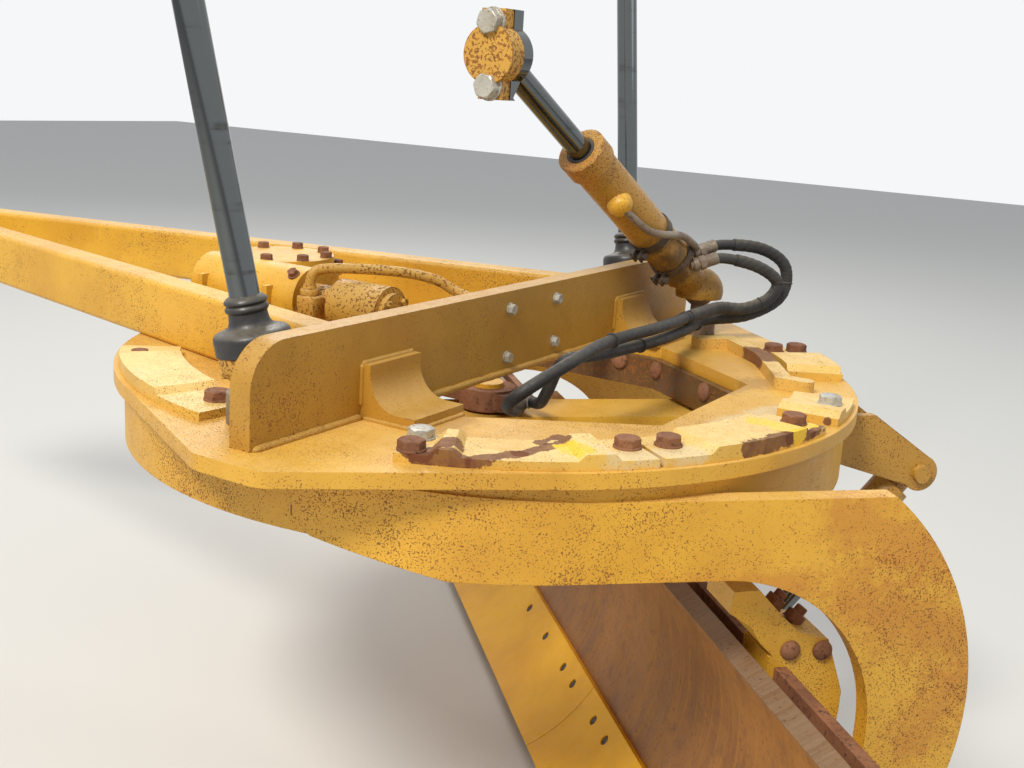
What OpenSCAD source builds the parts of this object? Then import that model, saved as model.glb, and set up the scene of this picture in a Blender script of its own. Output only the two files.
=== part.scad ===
// Drawbar, circle and moldboard of a motor grader, with the cylinders that move them.
// The origin is the centre of the hitch ball, with X forward, Y to the left and Z up.
// The deck frame has its origin at the circle's centre on the deck's top face.
// The turned frame is the deck frame turned with the circle: X across the blade, Y along it.

/* [Drawbar] */
// Distance from the hitch ball back to the circle's centre
circle_back = 2250; // [2050:10:2600]
// Height of the hitch ball over the deck's top face
deck_drop = 65; // [50:5:90]
// Width of a beam
beam_w = 76; // [60:2:90]
// Height of a beam
beam_h = 130; // [110:5:160]
// Radius of a beam's long edges
beam_round = 12; // [6:1:20]
// Distance of a beam's outer face from the middle, at the circle's centre
beam_root = 523; // [500:5:560]
// Angle between a beam and the middle line
beam_angle = 12.3; // [11.5:0.1:12.8]
// Length of the nose casting in front of the beams
nose_len = 230; // [200:5:260]
// Height of the nose casting
nose_h = 150; // [135:5:180]
// Radius of the hitch ball
hitch_ball_r = 62; // [50:1:70]
// Radius of the neck behind the ball
hitch_neck_r = 40; // [30:1:44]
// Radius of the hitch flange
hitch_flange_r = 110; // [95:1:130]
// Thickness of the hitch flange
hitch_flange_t = 30; // [20:1:40]

/* [Deck] */
// Thickness of the deck
deck_t = 28; // [20:1:34]
// Radius of the deck
deck_r = 785; // [775:1:800]
// Half of the width across the ears
ear_half = 900; // [880:5:930]
// Radius of an ear's corners
ear_round = 60; // [40:5:75]
// Place of an ear's front corner ahead of the circle's centre
ear_front = -40; // [-50:5:-20]
// Place of an ear's rear corner ahead of the circle's centre
ear_rear = -140; // [-160:5:-125]
// Depth of the deck's opening behind the circle's centre
opening_rear = 517; // [500:1:525]
// Half of the opening's straight rear edge
opening_rear_half = 215; // [180:5:225]
// Half of the opening's full width
opening_half = 420; // [380:5:430]
// Place where the opening's slanted edges start
opening_slant = -220; // [-250:5:-190]
// Place of the opening's front edge
opening_front = 130; // [100:5:150]
// Thickness of the skirt plates under the opening
skirt_t = 20; // [12:1:24]
// Height of the skirt plates
skirt_h = 72; // [50:1:76]

/* [Cross wall] */
// Place of the wall's rear face
wall_rear = -90; // [-100:1:-80]
// Thickness of the wall
wall_t = 44; // [30:1:50]
// Height of the wall
wall_h = 174; // [150:2:200]
// Half of the wall's length
wall_half = 840; // [820:5:860]
// Radius of the wall's upper corners
wall_round = 80; // [40:5:100]
// Width of a bent bracket behind the wall
bracket_w = 150; // [120:5:180]
// Height of a bent bracket
bracket_h = 100; // [80:5:120]
// Length of a bent bracket's foot
bracket_foot = 120; // [100:5:140]
// Plate thickness of a bent bracket
bracket_t = 20; // [12:1:26]
// Inner bend radius of a bent bracket
bracket_bend = 62; // [40:2:75]
// Distance of a bracket's middle from the wall's middle
bracket_y = 487; // [470:1:510]

/* [Guide shoes] */
// Thickness of a shoe's ends on the deck
shoe_t = 16; // [12:1:20]
// Thickness of a shoe's raised blocks
shoe_block_t = 28; // [22:1:34]
// Slope of the raised blocks' ends
shoe_slope = 42; // [30:1:60]
// Width of a shoe, from its inner edge out to the deck's edge
shoe_w = 120; // [100:2:130]
// Distance of a shoe's outer edge from the deck's edge
shoe_inset = 10; // [5:1:15]
// Size of a shoe bolt's hexagon head, across the corners
shoe_bolt_d = 46; // [36:1:52]
// Height of a shoe bolt's head
shoe_bolt_h = 20; // [14:1:26]
// Thickness of the wear pads between the deck and the circle
pad_t = 4.7; // [3:0.1:6]
// Gap that the circle runs with at its pads and clamps
slide_gap = 0.3; // [0.2:0.1:0.5]
// Radial width of a clamp's hooked lip
clamp_lip = 95; // [75:5:110]
// Thickness of a clamp's lip
clamp_lip_t = 25; // [18:1:30]
// Thickness of a clamp's upright
clamp_wall = 31; // [24:1:34]
// Angle that a clamp spans
clamp_span = 14; // [10:1:16]

/* [Circle] */
// Outer radius of the circle's drum
drum_r = 765; // [760:1:770]
// Wall thickness of the drum
drum_t = 27; // [20:1:30]
// Height of the drum
drum_h = 117; // [110:1:125]
// Thickness of the toothed flange
flange_t = 40; // [30:1:45]
// Tooth module, pitch diameter over tooth count
tooth_module = 17.5; // [17:0.1:17.8]
// Teeth inside the circle
circle_teeth = 72; // [70:1:73]
// Teeth on the drive pinion
pinion_teeth = 12; // [11:1:13]
// Pressure angle of the teeth
pressure_angle = 25; // [24:1:26]
// Free play between the teeth, along the pitch circle
tooth_play = 1.5; // [1:0.1:2]
// Angle of the circle, turned to the left from straight across
circle_turn = 45; // [0:1:60]
// Height of the beam across the circle
tie_h = 40; // [30:2:40]
// Width of the beam across the circle
tie_w = 150; // [120:5:180]

/* [Circle drive] */
// Angle of the pinion's place, to the left of straight ahead
drive_angle = 11; // [5:1:15]
// Radius of the gear case
case_r = 130; // [115:1:145]
// Height of the gear case
case_h = 178; // [165:1:190]
// Radius of the worm tunnel
worm_r = 68; // [60:1:75]
// Length of the worm tunnel
worm_len = 300; // [280:5:320]
// Height of the worm tunnel's axis
worm_z = 112; // [105:1:120]
// Radius of the drive motor
motor_r = 56; // [48:1:60]
// Length of the drive motor
motor_len = 130; // [100:5:150]
// Radius of the pinion's shaft
pinion_shaft_r = 40; // [30:1:50]
// Running clearance of shafts and pins in their bores
run_gap = 0.05; // [0.02:0.01:0.1]

/* [Arms] */
// Thickness of an arm
arm_t = 40; // [30:1:45]
// Step of an arm's outer face out from the drum
arm_step = 6; // [4:1:10]
// Depth of an arm's top edge under the deck's top face
arm_top = 56; // [45:1:60]
// Depth of an arm's straight lower edge under the deck's top face
arm_low = 197; // [190:1:205]
// Reach of an arm's bent front end ahead of the circle's centre
arm_front = 462; // [440:2:480]
// Place where an arm's lower edge starts to rise to its front end
arm_rise = 217; // [200:1:240]
// Radius of the arch in an arm
arch_r = 305; // [295:1:310]
// Place of the arch's centre, ahead of the circle's centre
arch_x = -256; // [-265:1:-245]
// Height of the arch's centre
arch_z = -505; // [-515:1:-500]
// Radius of an arm's outer curve
arm_curve_r = 522; // [510:1:530]
// Place of the outer curve's centre, ahead of the circle's centre
arm_curve_x = -235; // [-245:1:-225]
// Height of the outer curve's centre
arm_curve_z = -466; // [-475:1:-455]
// Place of the blade pivot, ahead of the circle's centre
pivot_x = -530; // [-540:1:-520]
// Height of the blade pivot
pivot_z = -780; // [-790:1:-770]
// Radius of an arm's pivot boss
pivot_boss_r = 90; // [80:1:92]
// Radius of the pivot pins
pivot_pin_r = 35; // [28:1:40]

/* [Blade] */
// Length of the moldboard
blade_len = 3660; // [3000:10:4300]
// Thickness of the moldboard
blade_t = 22; // [16:1:25]
// Radius of the moldboard's hollow face
blade_r = 413; // [405:1:420]
// Thickness of the bar along the moldboard's top edge
top_bar_t = 38; // [30:1:44]
// Height of the bar along the moldboard's top edge
top_bar_h = 30; // [20:1:36]
// Place of the moldboard's rearmost line, ahead of the circle's centre
blade_back_x = -390; // [-395:1:-385]
// Height of the hollow's centre
blade_z = -582; // [-590:1:-575]
// Angle of the moldboard's top edge, round the hollow's centre
blade_top_angle = 154; // [150:1:160]
// Angle of the moldboard's bottom edge
blade_low_angle = 236; // [230:1:240]
// Thickness of the cutting edges
edge_t = 16; // [12:1:20]
// Angle where the cutting edges start
edge_from = 211.8; // [208:0.1:214]
// Angle of the cutting edges' lower tip
edge_to = 242.9; // [240:0.1:246]
// Length of the end bits
end_bit_len = 150; // [120:5:200]
// Place of the moldboard's middle to the left of the circle's centre, as it stands
blade_shift = 33; // [0:1:60]
// Radius of the bolt holes in the cutting edges
edge_hole_r = 12; // [9:0.5:14]
// Distance between two bolt holes
edge_hole_pitch = 176; // [150:2:200]
// Distance of the bolt holes from a cutting edge's upper border
edge_hole_down = 46; // [36:1:60]
// Height of a slide rail's head
rail_h = 80; // [70:2:86]
// Thickness of a slide rail's head
rail_t = 24; // [16:1:26]
// Thickness of a slide rail's web
web_t = 24; // [16:1:28]
// Distance of the rails' heads behind the moldboard's rearmost line
rail_gap = 16; // [14:1:20]
// Height of the upper rail over the hollow's centre, and of the lower rail under it
rail_offset = 134; // [128:1:140]
// Length left without rail at each end of the blade
rail_short = 130; // [100:10:200]

/* [Blade carrier] */
// Distance of a bracket's middle from the blade's middle
carrier_y = 640; // [600:5:645]
// Width of a bracket
carrier_w = 110; // [80:2:120]
// Outer radius of the pivot tube
pivot_tube_r = 50; // [46:1:54]
// Thickness of a guide behind its rail
guide_t = 40; // [30:1:44]
// Width of a guide's lips
lip_t = 22; // [16:1:24]
// Place of the tip cylinder along the blade
tip_y = 250; // [150:10:350]
// Height of the tip cylinder's eye over the blade pivot
tip_eye_z = 150; // [140:1:155]
// Place of the tip cylinder's upper pin, ahead of the circle's centre
clevis_x = -903; // [-915:1:-890]
// Height of the tip cylinder's upper pin
clevis_z = -176; // [-185:1:-165]
// Radius of the side shift cylinder
slide_barrel_r = 46; // [40:1:47]
// Length of the side shift cylinder
slide_barrel_len = 1700; // [1650:10:1720]
// Radius of the side shift rod
slide_rod_r = 25; // [20:1:30]
// Place of the side shift rod's lug along the blade
slide_lug_y = 1430; // [1425:5:1500]

/* [Lift cylinders] */
// Place of the lift balls, ahead of the circle's centre
lift_x = 27; // [24:1:45]
// Distance of the lift balls from the middle
lift_y = 706; // [690:2:760]
// Height of the lift balls over the deck
lift_z = 128; // [120:1:145]
// Radius of a lift ball
lift_ball_r = 45; // [40:1:48]
// Radius of a lift rod
lift_rod_r = 26; // [22:1:30]
// Outer radius of a lift cylinder's barrel
lift_barrel_r = 55; // [50:1:65]
// Length of a lift cylinder's barrel
lift_barrel_len = 1240; // [1230:10:1300]
// Distance from a ball to the barrel, as it stands
lift_reach = 760; // [700:10:800]
// Forward lean of the lift cylinders, per unit of height
lift_lean = 0.156; // [0.1:0.002:0.2]
// Outward lean of the lift cylinders, per unit of height
lift_splay = 0.116; // [0.08:0.001:0.16]
// Radius of a trunnion pin
trunnion_r = 25; // [20:1:30]
// Length of a trunnion pin
trunnion_len = 45; // [30:5:60]

/* [Centre shift cylinder] */
// Place of the shift ball, ahead of the circle's centre
shift_x = -200; // [-210:1:-190]
// Place of the shift ball, to the right of the middle
shift_y = 660; // [650:1:680]
// Height of the shift ball over the deck
shift_z = 107; // [100:1:115]
// Radius of the shift ball
shift_ball_r = 40; // [35:1:44]
// Place of the rod's far end, ahead of the circle's centre
shift_end_x = -30; // [-45:1:-15]
// Place of the rod's far end, to the left of the middle
shift_end_y = 74; // [60:1:90]
// Height of the rod's far end over the deck
shift_end_z = 645; // [630:1:660]
// Outer radius of the shift cylinder's barrel
shift_barrel_r = 50; // [44:1:54]
// Distance from the ball to the end of the barrel
shift_barrel_end = 600; // [590:5:620]
// Radius of the shift rod
shift_rod_r = 26; // [20:1:30]
// Radius of the ball that the rod's far end takes
link_ball_r = 38; // [34:1:40]

/* [Hidden] */
$fn = 96;
paint = "#d9a92f";
shade = "#b98a26";
rust = "#6f4a33";
steel = "#8f9296";
chrome = "#d4d8dc";
rubber = "#222222";
edge_paint = "#e6b31e";
worn = "#7d5a3a";
eps = 0.5;

// Frames
module deck() {
    translate([-circle_back, 0, -deck_drop]) children();
}
module turned() {
    deck() rotate([0, 0, circle_turn]) children();
}
// Puts the children's Z axis on the line from p to q, with no twist about it
module aim(p, q) {
    v = q - p;
    side = atan2(v[1], v[0]);
    translate(p) rotate([0, acos(v[2] / norm(v)), side]) rotate([0, 0, -side]) children();
}
// Extrudes a profile drawn in X and Z along the blade, from y0 to y1
module along(y0, y1) {
    translate([0, y1, 0]) rotate([90, 0, 0]) linear_extrude(y1 - y0) children();
}
module rounded(w, h, r) {
    square([w - 2 * r, h], center = true);
    square([w, h - 2 * r], center = true);
    for (x = [-1, 1], y = [-1, 1]) translate([x * (w / 2 - r), y * (h / 2 - r)]) circle(r);
}
module hex_bolt(d, h) {
    cylinder(d = d, h = h, $fn = 6);
}
// A sector of a ring between two angles, up to 90 degrees wide
module ring_sector(r0, r1, a0, a1) {
    far = r1 / cos((a1 - a0) / 2) * 1.02;
    intersection() {
        difference() {
            circle(r1, $fn = 180);
            circle(r0, $fn = 180);
        }
        polygon([[0, 0], far * [cos(a0), sin(a0)], far * [cos(a1), sin(a1)]]);
    }
}

// Drawbar
function beam_y(x) = beam_root - tan(beam_angle) * x;

module hitch_ball() {
    flange_x = -100 - hitch_flange_t;
    color(steel) {
        sphere(hitch_ball_r);
        rotate([0, -90, 0]) cylinder(r = hitch_neck_r, h = 100);
        translate([flange_x, 0, 0]) rotate([0, 90, 0]) cylinder(r = hitch_flange_r, h = hitch_flange_t);
        for (a = [30:60:330])
            translate([-100, 0.77 * hitch_flange_r * cos(a), 0.77 * hitch_flange_r * sin(a)])
                rotate([0, 90, 0]) hex_bolt(36, 16);
    }
}
nose_front = -100 - hitch_flange_t;
nose_back = nose_front - nose_len;
nose_back_half = beam_y(circle_back + nose_back);
module nose() {
    color(paint)
        difference() {
            translate([0, 0, -nose_h / 2]) linear_extrude(nose_h)
                polygon([[nose_front, -75], [nose_front, 75], [nose_front - 60, 90],
                    [nose_back, nose_back_half + 6], [nose_back, -nose_back_half - 6],
                    [nose_front - 60, -90]]);
            for (z = [-1, 1])
                translate([nose_back, 0, z * (beam_h / 2 + 20)]) rotate([0, z * 12, 0])
                    cube([2 * 90, 400, 26], center = true);
        }
}
beam_spare = 100;
module beam() {
    len = (nose_back + circle_back) / cos(beam_angle);
    color(paint)
        deck() intersection() {
            translate([0, beam_root, beam_h / 2]) rotate([0, 0, -beam_angle])
                translate([-beam_spare, -beam_w / 2, 0]) rotate([90, 0, 90])
                    linear_extrude(len + 2 * beam_spare) rounded(beam_w, beam_h, beam_round);
            translate([wall_rear + wall_t, 0.4, -eps])
                cube([circle_back + nose_back - wall_rear - wall_t, 700, beam_h + 2 * eps]);
        }
}
module beam_left() beam();
module beam_right() mirror([0, 1, 0]) beam();

// Deck
ear_rear_normal = 132.3;
ear_front_normal = 66;
module deck_outline() {
    circle(deck_r, $fn = 180);
    for (side = [0, 1]) mirror([0, side]) {
        translate([ear_rear, ear_half - ear_round]) circle(ear_round);
        translate([ear_front, ear_half - ear_round]) circle(ear_round);
        polygon([[0, 0], [360, 697],
            [ear_front, ear_half - ear_round] + ear_round * [cos(ear_front_normal), sin(ear_front_normal)],
            [ear_front, ear_half], [ear_rear, ear_half],
            [ear_rear, ear_half - ear_round] + ear_round * [cos(ear_rear_normal), sin(ear_rear_normal)],
            deck_r * [cos(ear_rear_normal), sin(ear_rear_normal)]]);
    }
}
opening_points = [
    [opening_front, opening_half], [opening_slant, opening_half], [-opening_rear, opening_rear_half],
    [-opening_rear, -opening_rear_half], [opening_slant, -opening_half], [opening_front, -opening_half]
];
pitch_r = tooth_module * circle_teeth / 2;
pinion_pitch_r = tooth_module * pinion_teeth / 2;
drive_r = pitch_r - pinion_pitch_r;
drive_x = drive_r * cos(drive_angle);
drive_y = drive_r * sin(drive_angle);
case_boss_r = pinion_shaft_r + 22;
module yoke_plate() {
    color(paint)
        deck() translate([0, 0, -deck_t]) linear_extrude(deck_t)
            difference() {
                deck_outline();
                polygon(opening_points);
                translate([drive_x, drive_y]) circle(case_boss_r);
            }
}
// The skirt is the opening's outline between two offsets, drawn as one strip for each edge
module skirt_strip(p, q) {
    v = (q - p) / norm(q - p);
    n = [v[1], -v[0]];
    polygon([p, q, q + skirt_t * n, p + skirt_t * n]);
}
module yoke_skirt() {
    color(shade)
        deck() translate([0, 0, -deck_t - skirt_h]) linear_extrude(skirt_h)
            for (i = [0:len(opening_points) - 2])
                skirt_strip(opening_points[i + 1], opening_points[i]);
}
module cross_wall() {
    color(shade)
        deck() translate([wall_rear, 0, 0]) rotate([90, 0, 90]) linear_extrude(wall_t) {
            translate([-wall_half, 0]) square([2 * wall_half, wall_h - wall_round]);
            translate([-wall_half + wall_round, 0]) square([2 * (wall_half - wall_round), wall_h]);
            for (side = [-1, 1])
                translate([side * (wall_half - wall_round), wall_h - wall_round]) circle(wall_round);
        }
}
module wall_brackets() {
    color(paint)
        deck() for (side = [-1, 1])
            translate([wall_rear, side * bracket_y + bracket_w / 2, 0]) rotate([90, 0, 0])
                linear_extrude(bracket_w) difference() {
                    polygon([[0, 0], [0, bracket_h], [-bracket_t, bracket_h],
                        [-bracket_t, bracket_t + bracket_bend], [-bracket_t - bracket_bend, bracket_t],
                        [-bracket_foot, bracket_t], [-bracket_foot, 0]]);
                    translate([-bracket_t - bracket_bend, bracket_t + bracket_bend]) circle(bracket_bend);
                }
}

// Guide shoes, each from one angle to another, with the angle and radius of each bolt and the angles
// between which its raised blocks lie
shoe_from = 0;
shoe_to = 1;
shoe_bolts_at = 2;
shoe_blocks = 3;
bolt_angle = 0;
bolt_radius = 1;
SHOES = [
    [42, 83, [[45.5, 735], [79, 700]], [[49, 73]]],
    [111.5, 144, [[113.3, 752], [113.3, 682], [142, 704]], [[115.6, 119.6], [133.5, 139]]],
    [144.7, 176, [[148.2, 708], [174, 722]], [[151.5, 171]]],
    [181, 195, [[189.2, 734]], [[181.4, 185.5]]],
    [211, 231, [[228, 750], [228, 690]], [[212, 224]]],
    [277, 318, [[281, 700], [314.5, 735]], [[287, 311]]]
];
shoe_out = deck_r - shoe_inset;
shoe_in = shoe_out - shoe_w;
module guide_shoes() {
    color(paint)
        deck() for (s = SHOES) {
            linear_extrude(shoe_t) ring_sector(shoe_in, shoe_out, s[shoe_from], s[shoe_to]);
            for (b = s[shoe_blocks]) shoe_block(b);
        }
}
module shoe_block(span) {
    spare = 20;
    difference() {
        linear_extrude(shoe_block_t) ring_sector(shoe_in, shoe_out, span[0], span[1]);
        for (end = [0, 1])
            rotate([0, 0, span[end]]) mirror([0, end, 0]) translate([shoe_in - spare, 0, shoe_t])
                rotate([shoe_slope, 0, 0]) translate([0, -2 * spare, 0])
                    cube([shoe_w + 2 * spare, 6 * spare, 3 * spare]);
    }
}
module shoe_bolts() {
    color(rust)
        deck() for (s = SHOES, b = s[shoe_bolts_at])
            rotate([0, 0, b[bolt_angle]]) translate([b[bolt_radius], 0, shoe_t])
                hex_bolt(shoe_bolt_d, shoe_bolt_h);
}
bar_w = 36;
bar_h = 26;
bar_knuckle = 2;
bar_points = [[-286, -488], [-340, -545], [-468, -428], [-585, -237], [-632, -237]];
module deck_bar() {
    color(paint)
        deck() linear_extrude(bar_h) {
            for (i = [0:len(bar_points) - 2])
                let (p = bar_points[i], v = bar_points[i + 1] - p)
                    translate(p) rotate(atan2(v[1], v[0])) translate([0, -bar_w / 2])
                        square([norm(v), bar_w]);
            for (p = bar_points) translate(p) circle(bar_w / 2 + bar_knuckle);
        }
}
ring_top = -deck_t - pad_t - slide_gap;
flange_low = ring_top - flange_t;
flange_in = pitch_r + tooth_module;
tooth_tip_r = pitch_r - 0.8 * tooth_module;
PADS = [50, 90, 130, 180, 230, 270, 310];
module wear_pads() {
    color(rust)
        deck() translate([0, 0, -deck_t - pad_t]) linear_extrude(pad_t)
            for (a = PADS) ring_sector(flange_in + 12, drum_r - 20, a - clamp_span / 2, a + clamp_span / 2);
}
clamp_out = tooth_tip_r - 8;
clamp_in = clamp_out - clamp_wall;
module guide_clamps() {
    lip_top = flange_low - slide_gap;
    color(rust)
        deck() for (a = PADS) {
            translate([0, 0, lip_top - clamp_lip_t]) linear_extrude(-deck_t - lip_top + clamp_lip_t)
                ring_sector(clamp_in, clamp_out, a - clamp_span / 2, a + clamp_span / 2);
            translate([0, 0, lip_top - clamp_lip_t]) linear_extrude(clamp_lip_t)
                ring_sector(clamp_out - 1, clamp_out + clamp_lip, a - clamp_span / 2, a + clamp_span / 2);
        }
}
// Ball studs
stud_foot_r = 48;
module stud(ball_r, height, neck_r) {
    foot_h = height - 1.65 * ball_r;
    sphere(ball_r);
    translate([0, 0, -height + foot_h]) cylinder(r = neck_r, h = height - foot_h);
    translate([0, 0, -height]) cylinder(r = stud_foot_r, h = foot_h);
}
module lift_studs() {
    color(steel)
        deck() for (side = [-1, 1])
            translate([lift_x, side * lift_y, lift_z]) stud(lift_ball_r, lift_z, 0.42 * lift_ball_r);
}
shift_ball = [shift_x, -shift_y, shift_z];
shift_end = [shift_end_x, shift_end_y, shift_end_z];
module shift_stud() {
    color(steel) deck() translate(shift_ball) stud(shift_ball_r, shift_z, 0.45 * shift_ball_r);
}

// Circle drive
case_lid = 26;
case_rim = 9;
worm_front = 110;
worm_side = case_r - 20;
worm_back = worm_front - worm_len;
module drive_case() {
    bore = pinion_shaft_r + run_gap;
    color(paint)
        deck() translate([drive_x, drive_y, 0]) difference() {
            union() {
                cylinder(r = case_r, h = case_h - case_lid);
                translate([0, 0, case_h - case_lid - 12]) cylinder(r = case_r + case_rim, h = 12);
                translate([0, 0, case_h - case_lid]) cylinder(r = case_r - 12, h = case_lid);
                translate([0, 0, -deck_t]) cylinder(r = case_boss_r, h = deck_t);
                translate([worm_back, worm_side, worm_z]) rotate([0, 90, 0])
                    cylinder(r = worm_r, h = worm_len);
                translate([worm_back + 20, worm_side - worm_r, 0])
                    cube([worm_len - 40, 2 * worm_r, worm_z]);
                for (x = [worm_back + 60, worm_front - 50])
                    translate([x, worm_side + worm_r - 20, 0]) cube([14, 34, worm_z + 30]);
            }
            translate([0, 0, -deck_t - eps]) cylinder(r = bore, h = deck_t + 70);
        }
}
motor_neck = 78;
module drive_motor() {
    cover_t = 14;
    color(rust)
        deck() translate([drive_x + worm_back, drive_y + worm_side, worm_z]) rotate([0, -90, 0]) {
            cylinder(r = motor_r - 20, h = motor_neck + 10);
            translate([0, 0, motor_neck]) cylinder(r = motor_r, h = motor_len);
            translate([0, 0, motor_neck + motor_len]) cylinder(r = motor_r - 12, h = cover_t);
            for (a = [45:90:315])
                rotate([0, 0, a]) translate([motor_r - 22, 0, motor_neck + motor_len + cover_t])
                    hex_bolt(16, 9);
        }
}
// Involute angle in degrees at a pressure angle
function involute(a) = tan(a) * 180 / PI - a;
// Half of the angle of a tooth or a space at radius r, from its half angle at the pitch circle
function half_angle(r, pitch, half) =
    half + involute(pressure_angle) - involute(acos(min(1, pitch * cos(pressure_angle) / r)));
// Outline of a wheel of outward teeth, with flank points at the given radii
function tooth_points(count, pitch, half, radii) = [
    for (i = [0:count - 1], s = [-1, 1], k = [0:len(radii) - 1])
        let (r = radii[s < 0 ? k : len(radii) - 1 - k], a = 360 * i / count + s * half_angle(r, pitch, half))
            r * [cos(a), sin(a)]
];
play_circle = tooth_play / 4 / pitch_r * 180 / PI;
play_pinion = tooth_play / 4 / pinion_pitch_r * 180 / PI;
circle_space = 90 / circle_teeth + play_circle;
pinion_half = 90 / pinion_teeth - play_pinion;
pinion_base = pinion_pitch_r * cos(pressure_angle);
circle_radii = [tooth_tip_r, pitch_r - 5, pitch_r + 6, flange_in];
pinion_radii = [pinion_pitch_r - tooth_module, pinion_base, pinion_pitch_r - 4, pinion_pitch_r + 5,
    pinion_pitch_r + 0.8 * tooth_module];
// The angle of the pinion that puts a tooth in a space of the circle
circle_pitch_angle = 360 / circle_teeth;
drive_local = drive_angle - circle_turn;
space_off = drive_local - circle_pitch_angle * round(drive_local / circle_pitch_angle);
pinion_angle = drive_angle - space_off * circle_teeth / pinion_teeth;
pinion_low = flange_low - 4;
pinion_top = ring_top - 2;
shaft_up = 36;
module pinion() {
    color(steel)
        deck() translate([drive_x, drive_y, 0]) {
            translate([0, 0, pinion_low]) rotate([0, 0, pinion_angle])
                linear_extrude(pinion_top - pinion_low)
                    polygon(tooth_points(pinion_teeth, pinion_pitch_r, pinion_half, pinion_radii));
            translate([0, 0, pinion_top - eps]) cylinder(r = pinion_shaft_r, h = shaft_up - pinion_top);
        }
}

// Circle
drum_low = ring_top - drum_h;
module circle_gear() {
    color(paint)
        turned() translate([0, 0, flange_low]) linear_extrude(flange_t) difference() {
            circle(drum_r, $fn = 180);
            polygon(tooth_points(circle_teeth, pitch_r, circle_space, circle_radii));
        }
}
module circle_drum() {
    color(paint)
        turned() translate([0, 0, drum_low]) linear_extrude(drum_h - flange_t) difference() {
            circle(drum_r, $fn = 180);
            circle(drum_r - drum_t, $fn = 180);
        }
}
tie_top = drum_low + tie_h;
spool_r = 34;
module circle_tie() {
    color(paint)
        turned() {
            intersection() {
                translate([-drum_r, -tie_w / 2, drum_low]) cube([2 * drum_r, tie_w, tie_h]);
                translate([0, 0, drum_low - eps]) cylinder(r = drum_r - drum_t, h = drum_h, $fn = 180);
            }
            translate([0, 0, tie_top]) cylinder(r = spool_r, h = 62);
        }
}
swivel_h = 46;
swivel_low = tie_top + 6;
swivel_r = 62;
port_w = 90;
port_reach = 70;
stay_w = 60;
module swivel_body() {
    color(rust)
        deck() translate([0, 0, swivel_low]) difference() {
            union() {
                cylinder(r = swivel_r, h = swivel_h);
                translate([0, -stay_w / 2, 8]) cube([opening_front - skirt_t / 2, stay_w, swivel_h - 16]);
                translate([-port_reach, -port_w / 2, 5]) cube([port_reach, port_w, swivel_h - 10]);
            }
            translate([0, 0, -eps]) cylinder(r = spool_r + run_gap, h = swivel_h + 2 * eps);
        }
}

// Arms: a front end bent round the drum, a straight part and a broad hook down to the blade pivot
arm_out = drum_r + arm_step;
arm_in = arm_out - arm_t;
module arm_hook() {
    hook_low = pivot_z - 10;
    difference() {
        union() {
            polygon([[arm_curve_x, -arm_top], [0, -arm_top], [0, -arm_low], [arch_x, arch_z + arch_r]]);
            intersection() {
                translate([arm_curve_x, arm_curve_z]) circle(arm_curve_r, $fn = 180);
                translate([arm_curve_x + 1 - 2 * arm_curve_r, hook_low])
                    square([2 * arm_curve_r, -arm_top - hook_low]);
            }
            translate([pivot_x, pivot_z]) circle(pivot_boss_r);
        }
        difference() {
            union() {
                translate([arch_x, arch_z]) circle(arch_r, $fn = 180);
                translate([arch_x - arch_r, arch_z - 2 * arch_r]) square([4 * arch_r, 2 * arch_r]);
            }
            translate([pivot_x, pivot_z]) circle(pivot_boss_r);
        }
        difference() {
            translate([arch_x - 2 * arch_r, pivot_z - arch_r]) square([2 * arch_r, arch_r]);
            translate([pivot_x, pivot_z]) circle(pivot_boss_r);
        }
    }
}
module arm_bend() {
    low = [[0, -arm_low], [arm_rise, -arm_low], [arm_front - 30, drum_low], [arm_front, drum_low + 30]];
    high = [[arm_front, ring_top - 4], [0, -arm_top]];
    intersection() {
        translate([0, 0, -arm_low]) linear_extrude(arm_low) ring_sector(arm_in, arm_out, 45, 90);
        along(arm_in / 2, arm_out + 1) polygon(concat(low, high));
    }
}
module arm() {
    difference() {
        union() {
            along(arm_in, arm_out) arm_hook();
            arm_bend();
        }
        translate([0, 0, drum_low]) cylinder(r = drum_r, h = drum_h + 10, $fn = 180);
    }
}
module arm_left() {
    color(paint) turned() arm();
}
module arm_right() {
    color(paint) turned() mirror([0, 1, 0]) arm();
}
pin_in = 150;
module pivot_pins() {
    color(steel)
        turned() for (side = [-1, 1])
            translate([pivot_x, side * arm_in, pivot_z]) rotate([side * 90, 0, 0])
                cylinder(r = pivot_pin_r, h = pin_in);
}
clevis = [clevis_x, tip_y, clevis_z];
clevis_gap = 62;
clevis_t = 20;
clevis_pin_r = 20;
module tip_clevis() {
    root_x = -sqrt(pow(drum_r, 2) - pow(tip_y - clevis_gap / 2 - clevis_t, 2));
    color(paint)
        turned() {
            for (side = [-1, 1])
                difference() {
                    along(tip_y + side * (clevis_gap + clevis_t) / 2 - clevis_t / 2,
                        tip_y + side * (clevis_gap + clevis_t) / 2 + clevis_t / 2) {
                            translate([clevis_x, clevis_z]) circle(40);
                            polygon([[clevis_x - 26, clevis_z + 30], [root_x - 40, ring_top - 12],
                                [root_x + 60, ring_top - 12], [root_x + 60, drum_low + 6],
                                [clevis_x + 30, clevis_z - 26]]);
                        }
                    cylinder(r = drum_r, h = 600, center = true, $fn = 180);
                }
            translate([clevis_x, tip_y, clevis_z]) rotate([90, 0, 0])
                cylinder(r = clevis_pin_r, h = clevis_gap + 2 * clevis_t + 24, center = true);
        }
}

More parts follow.
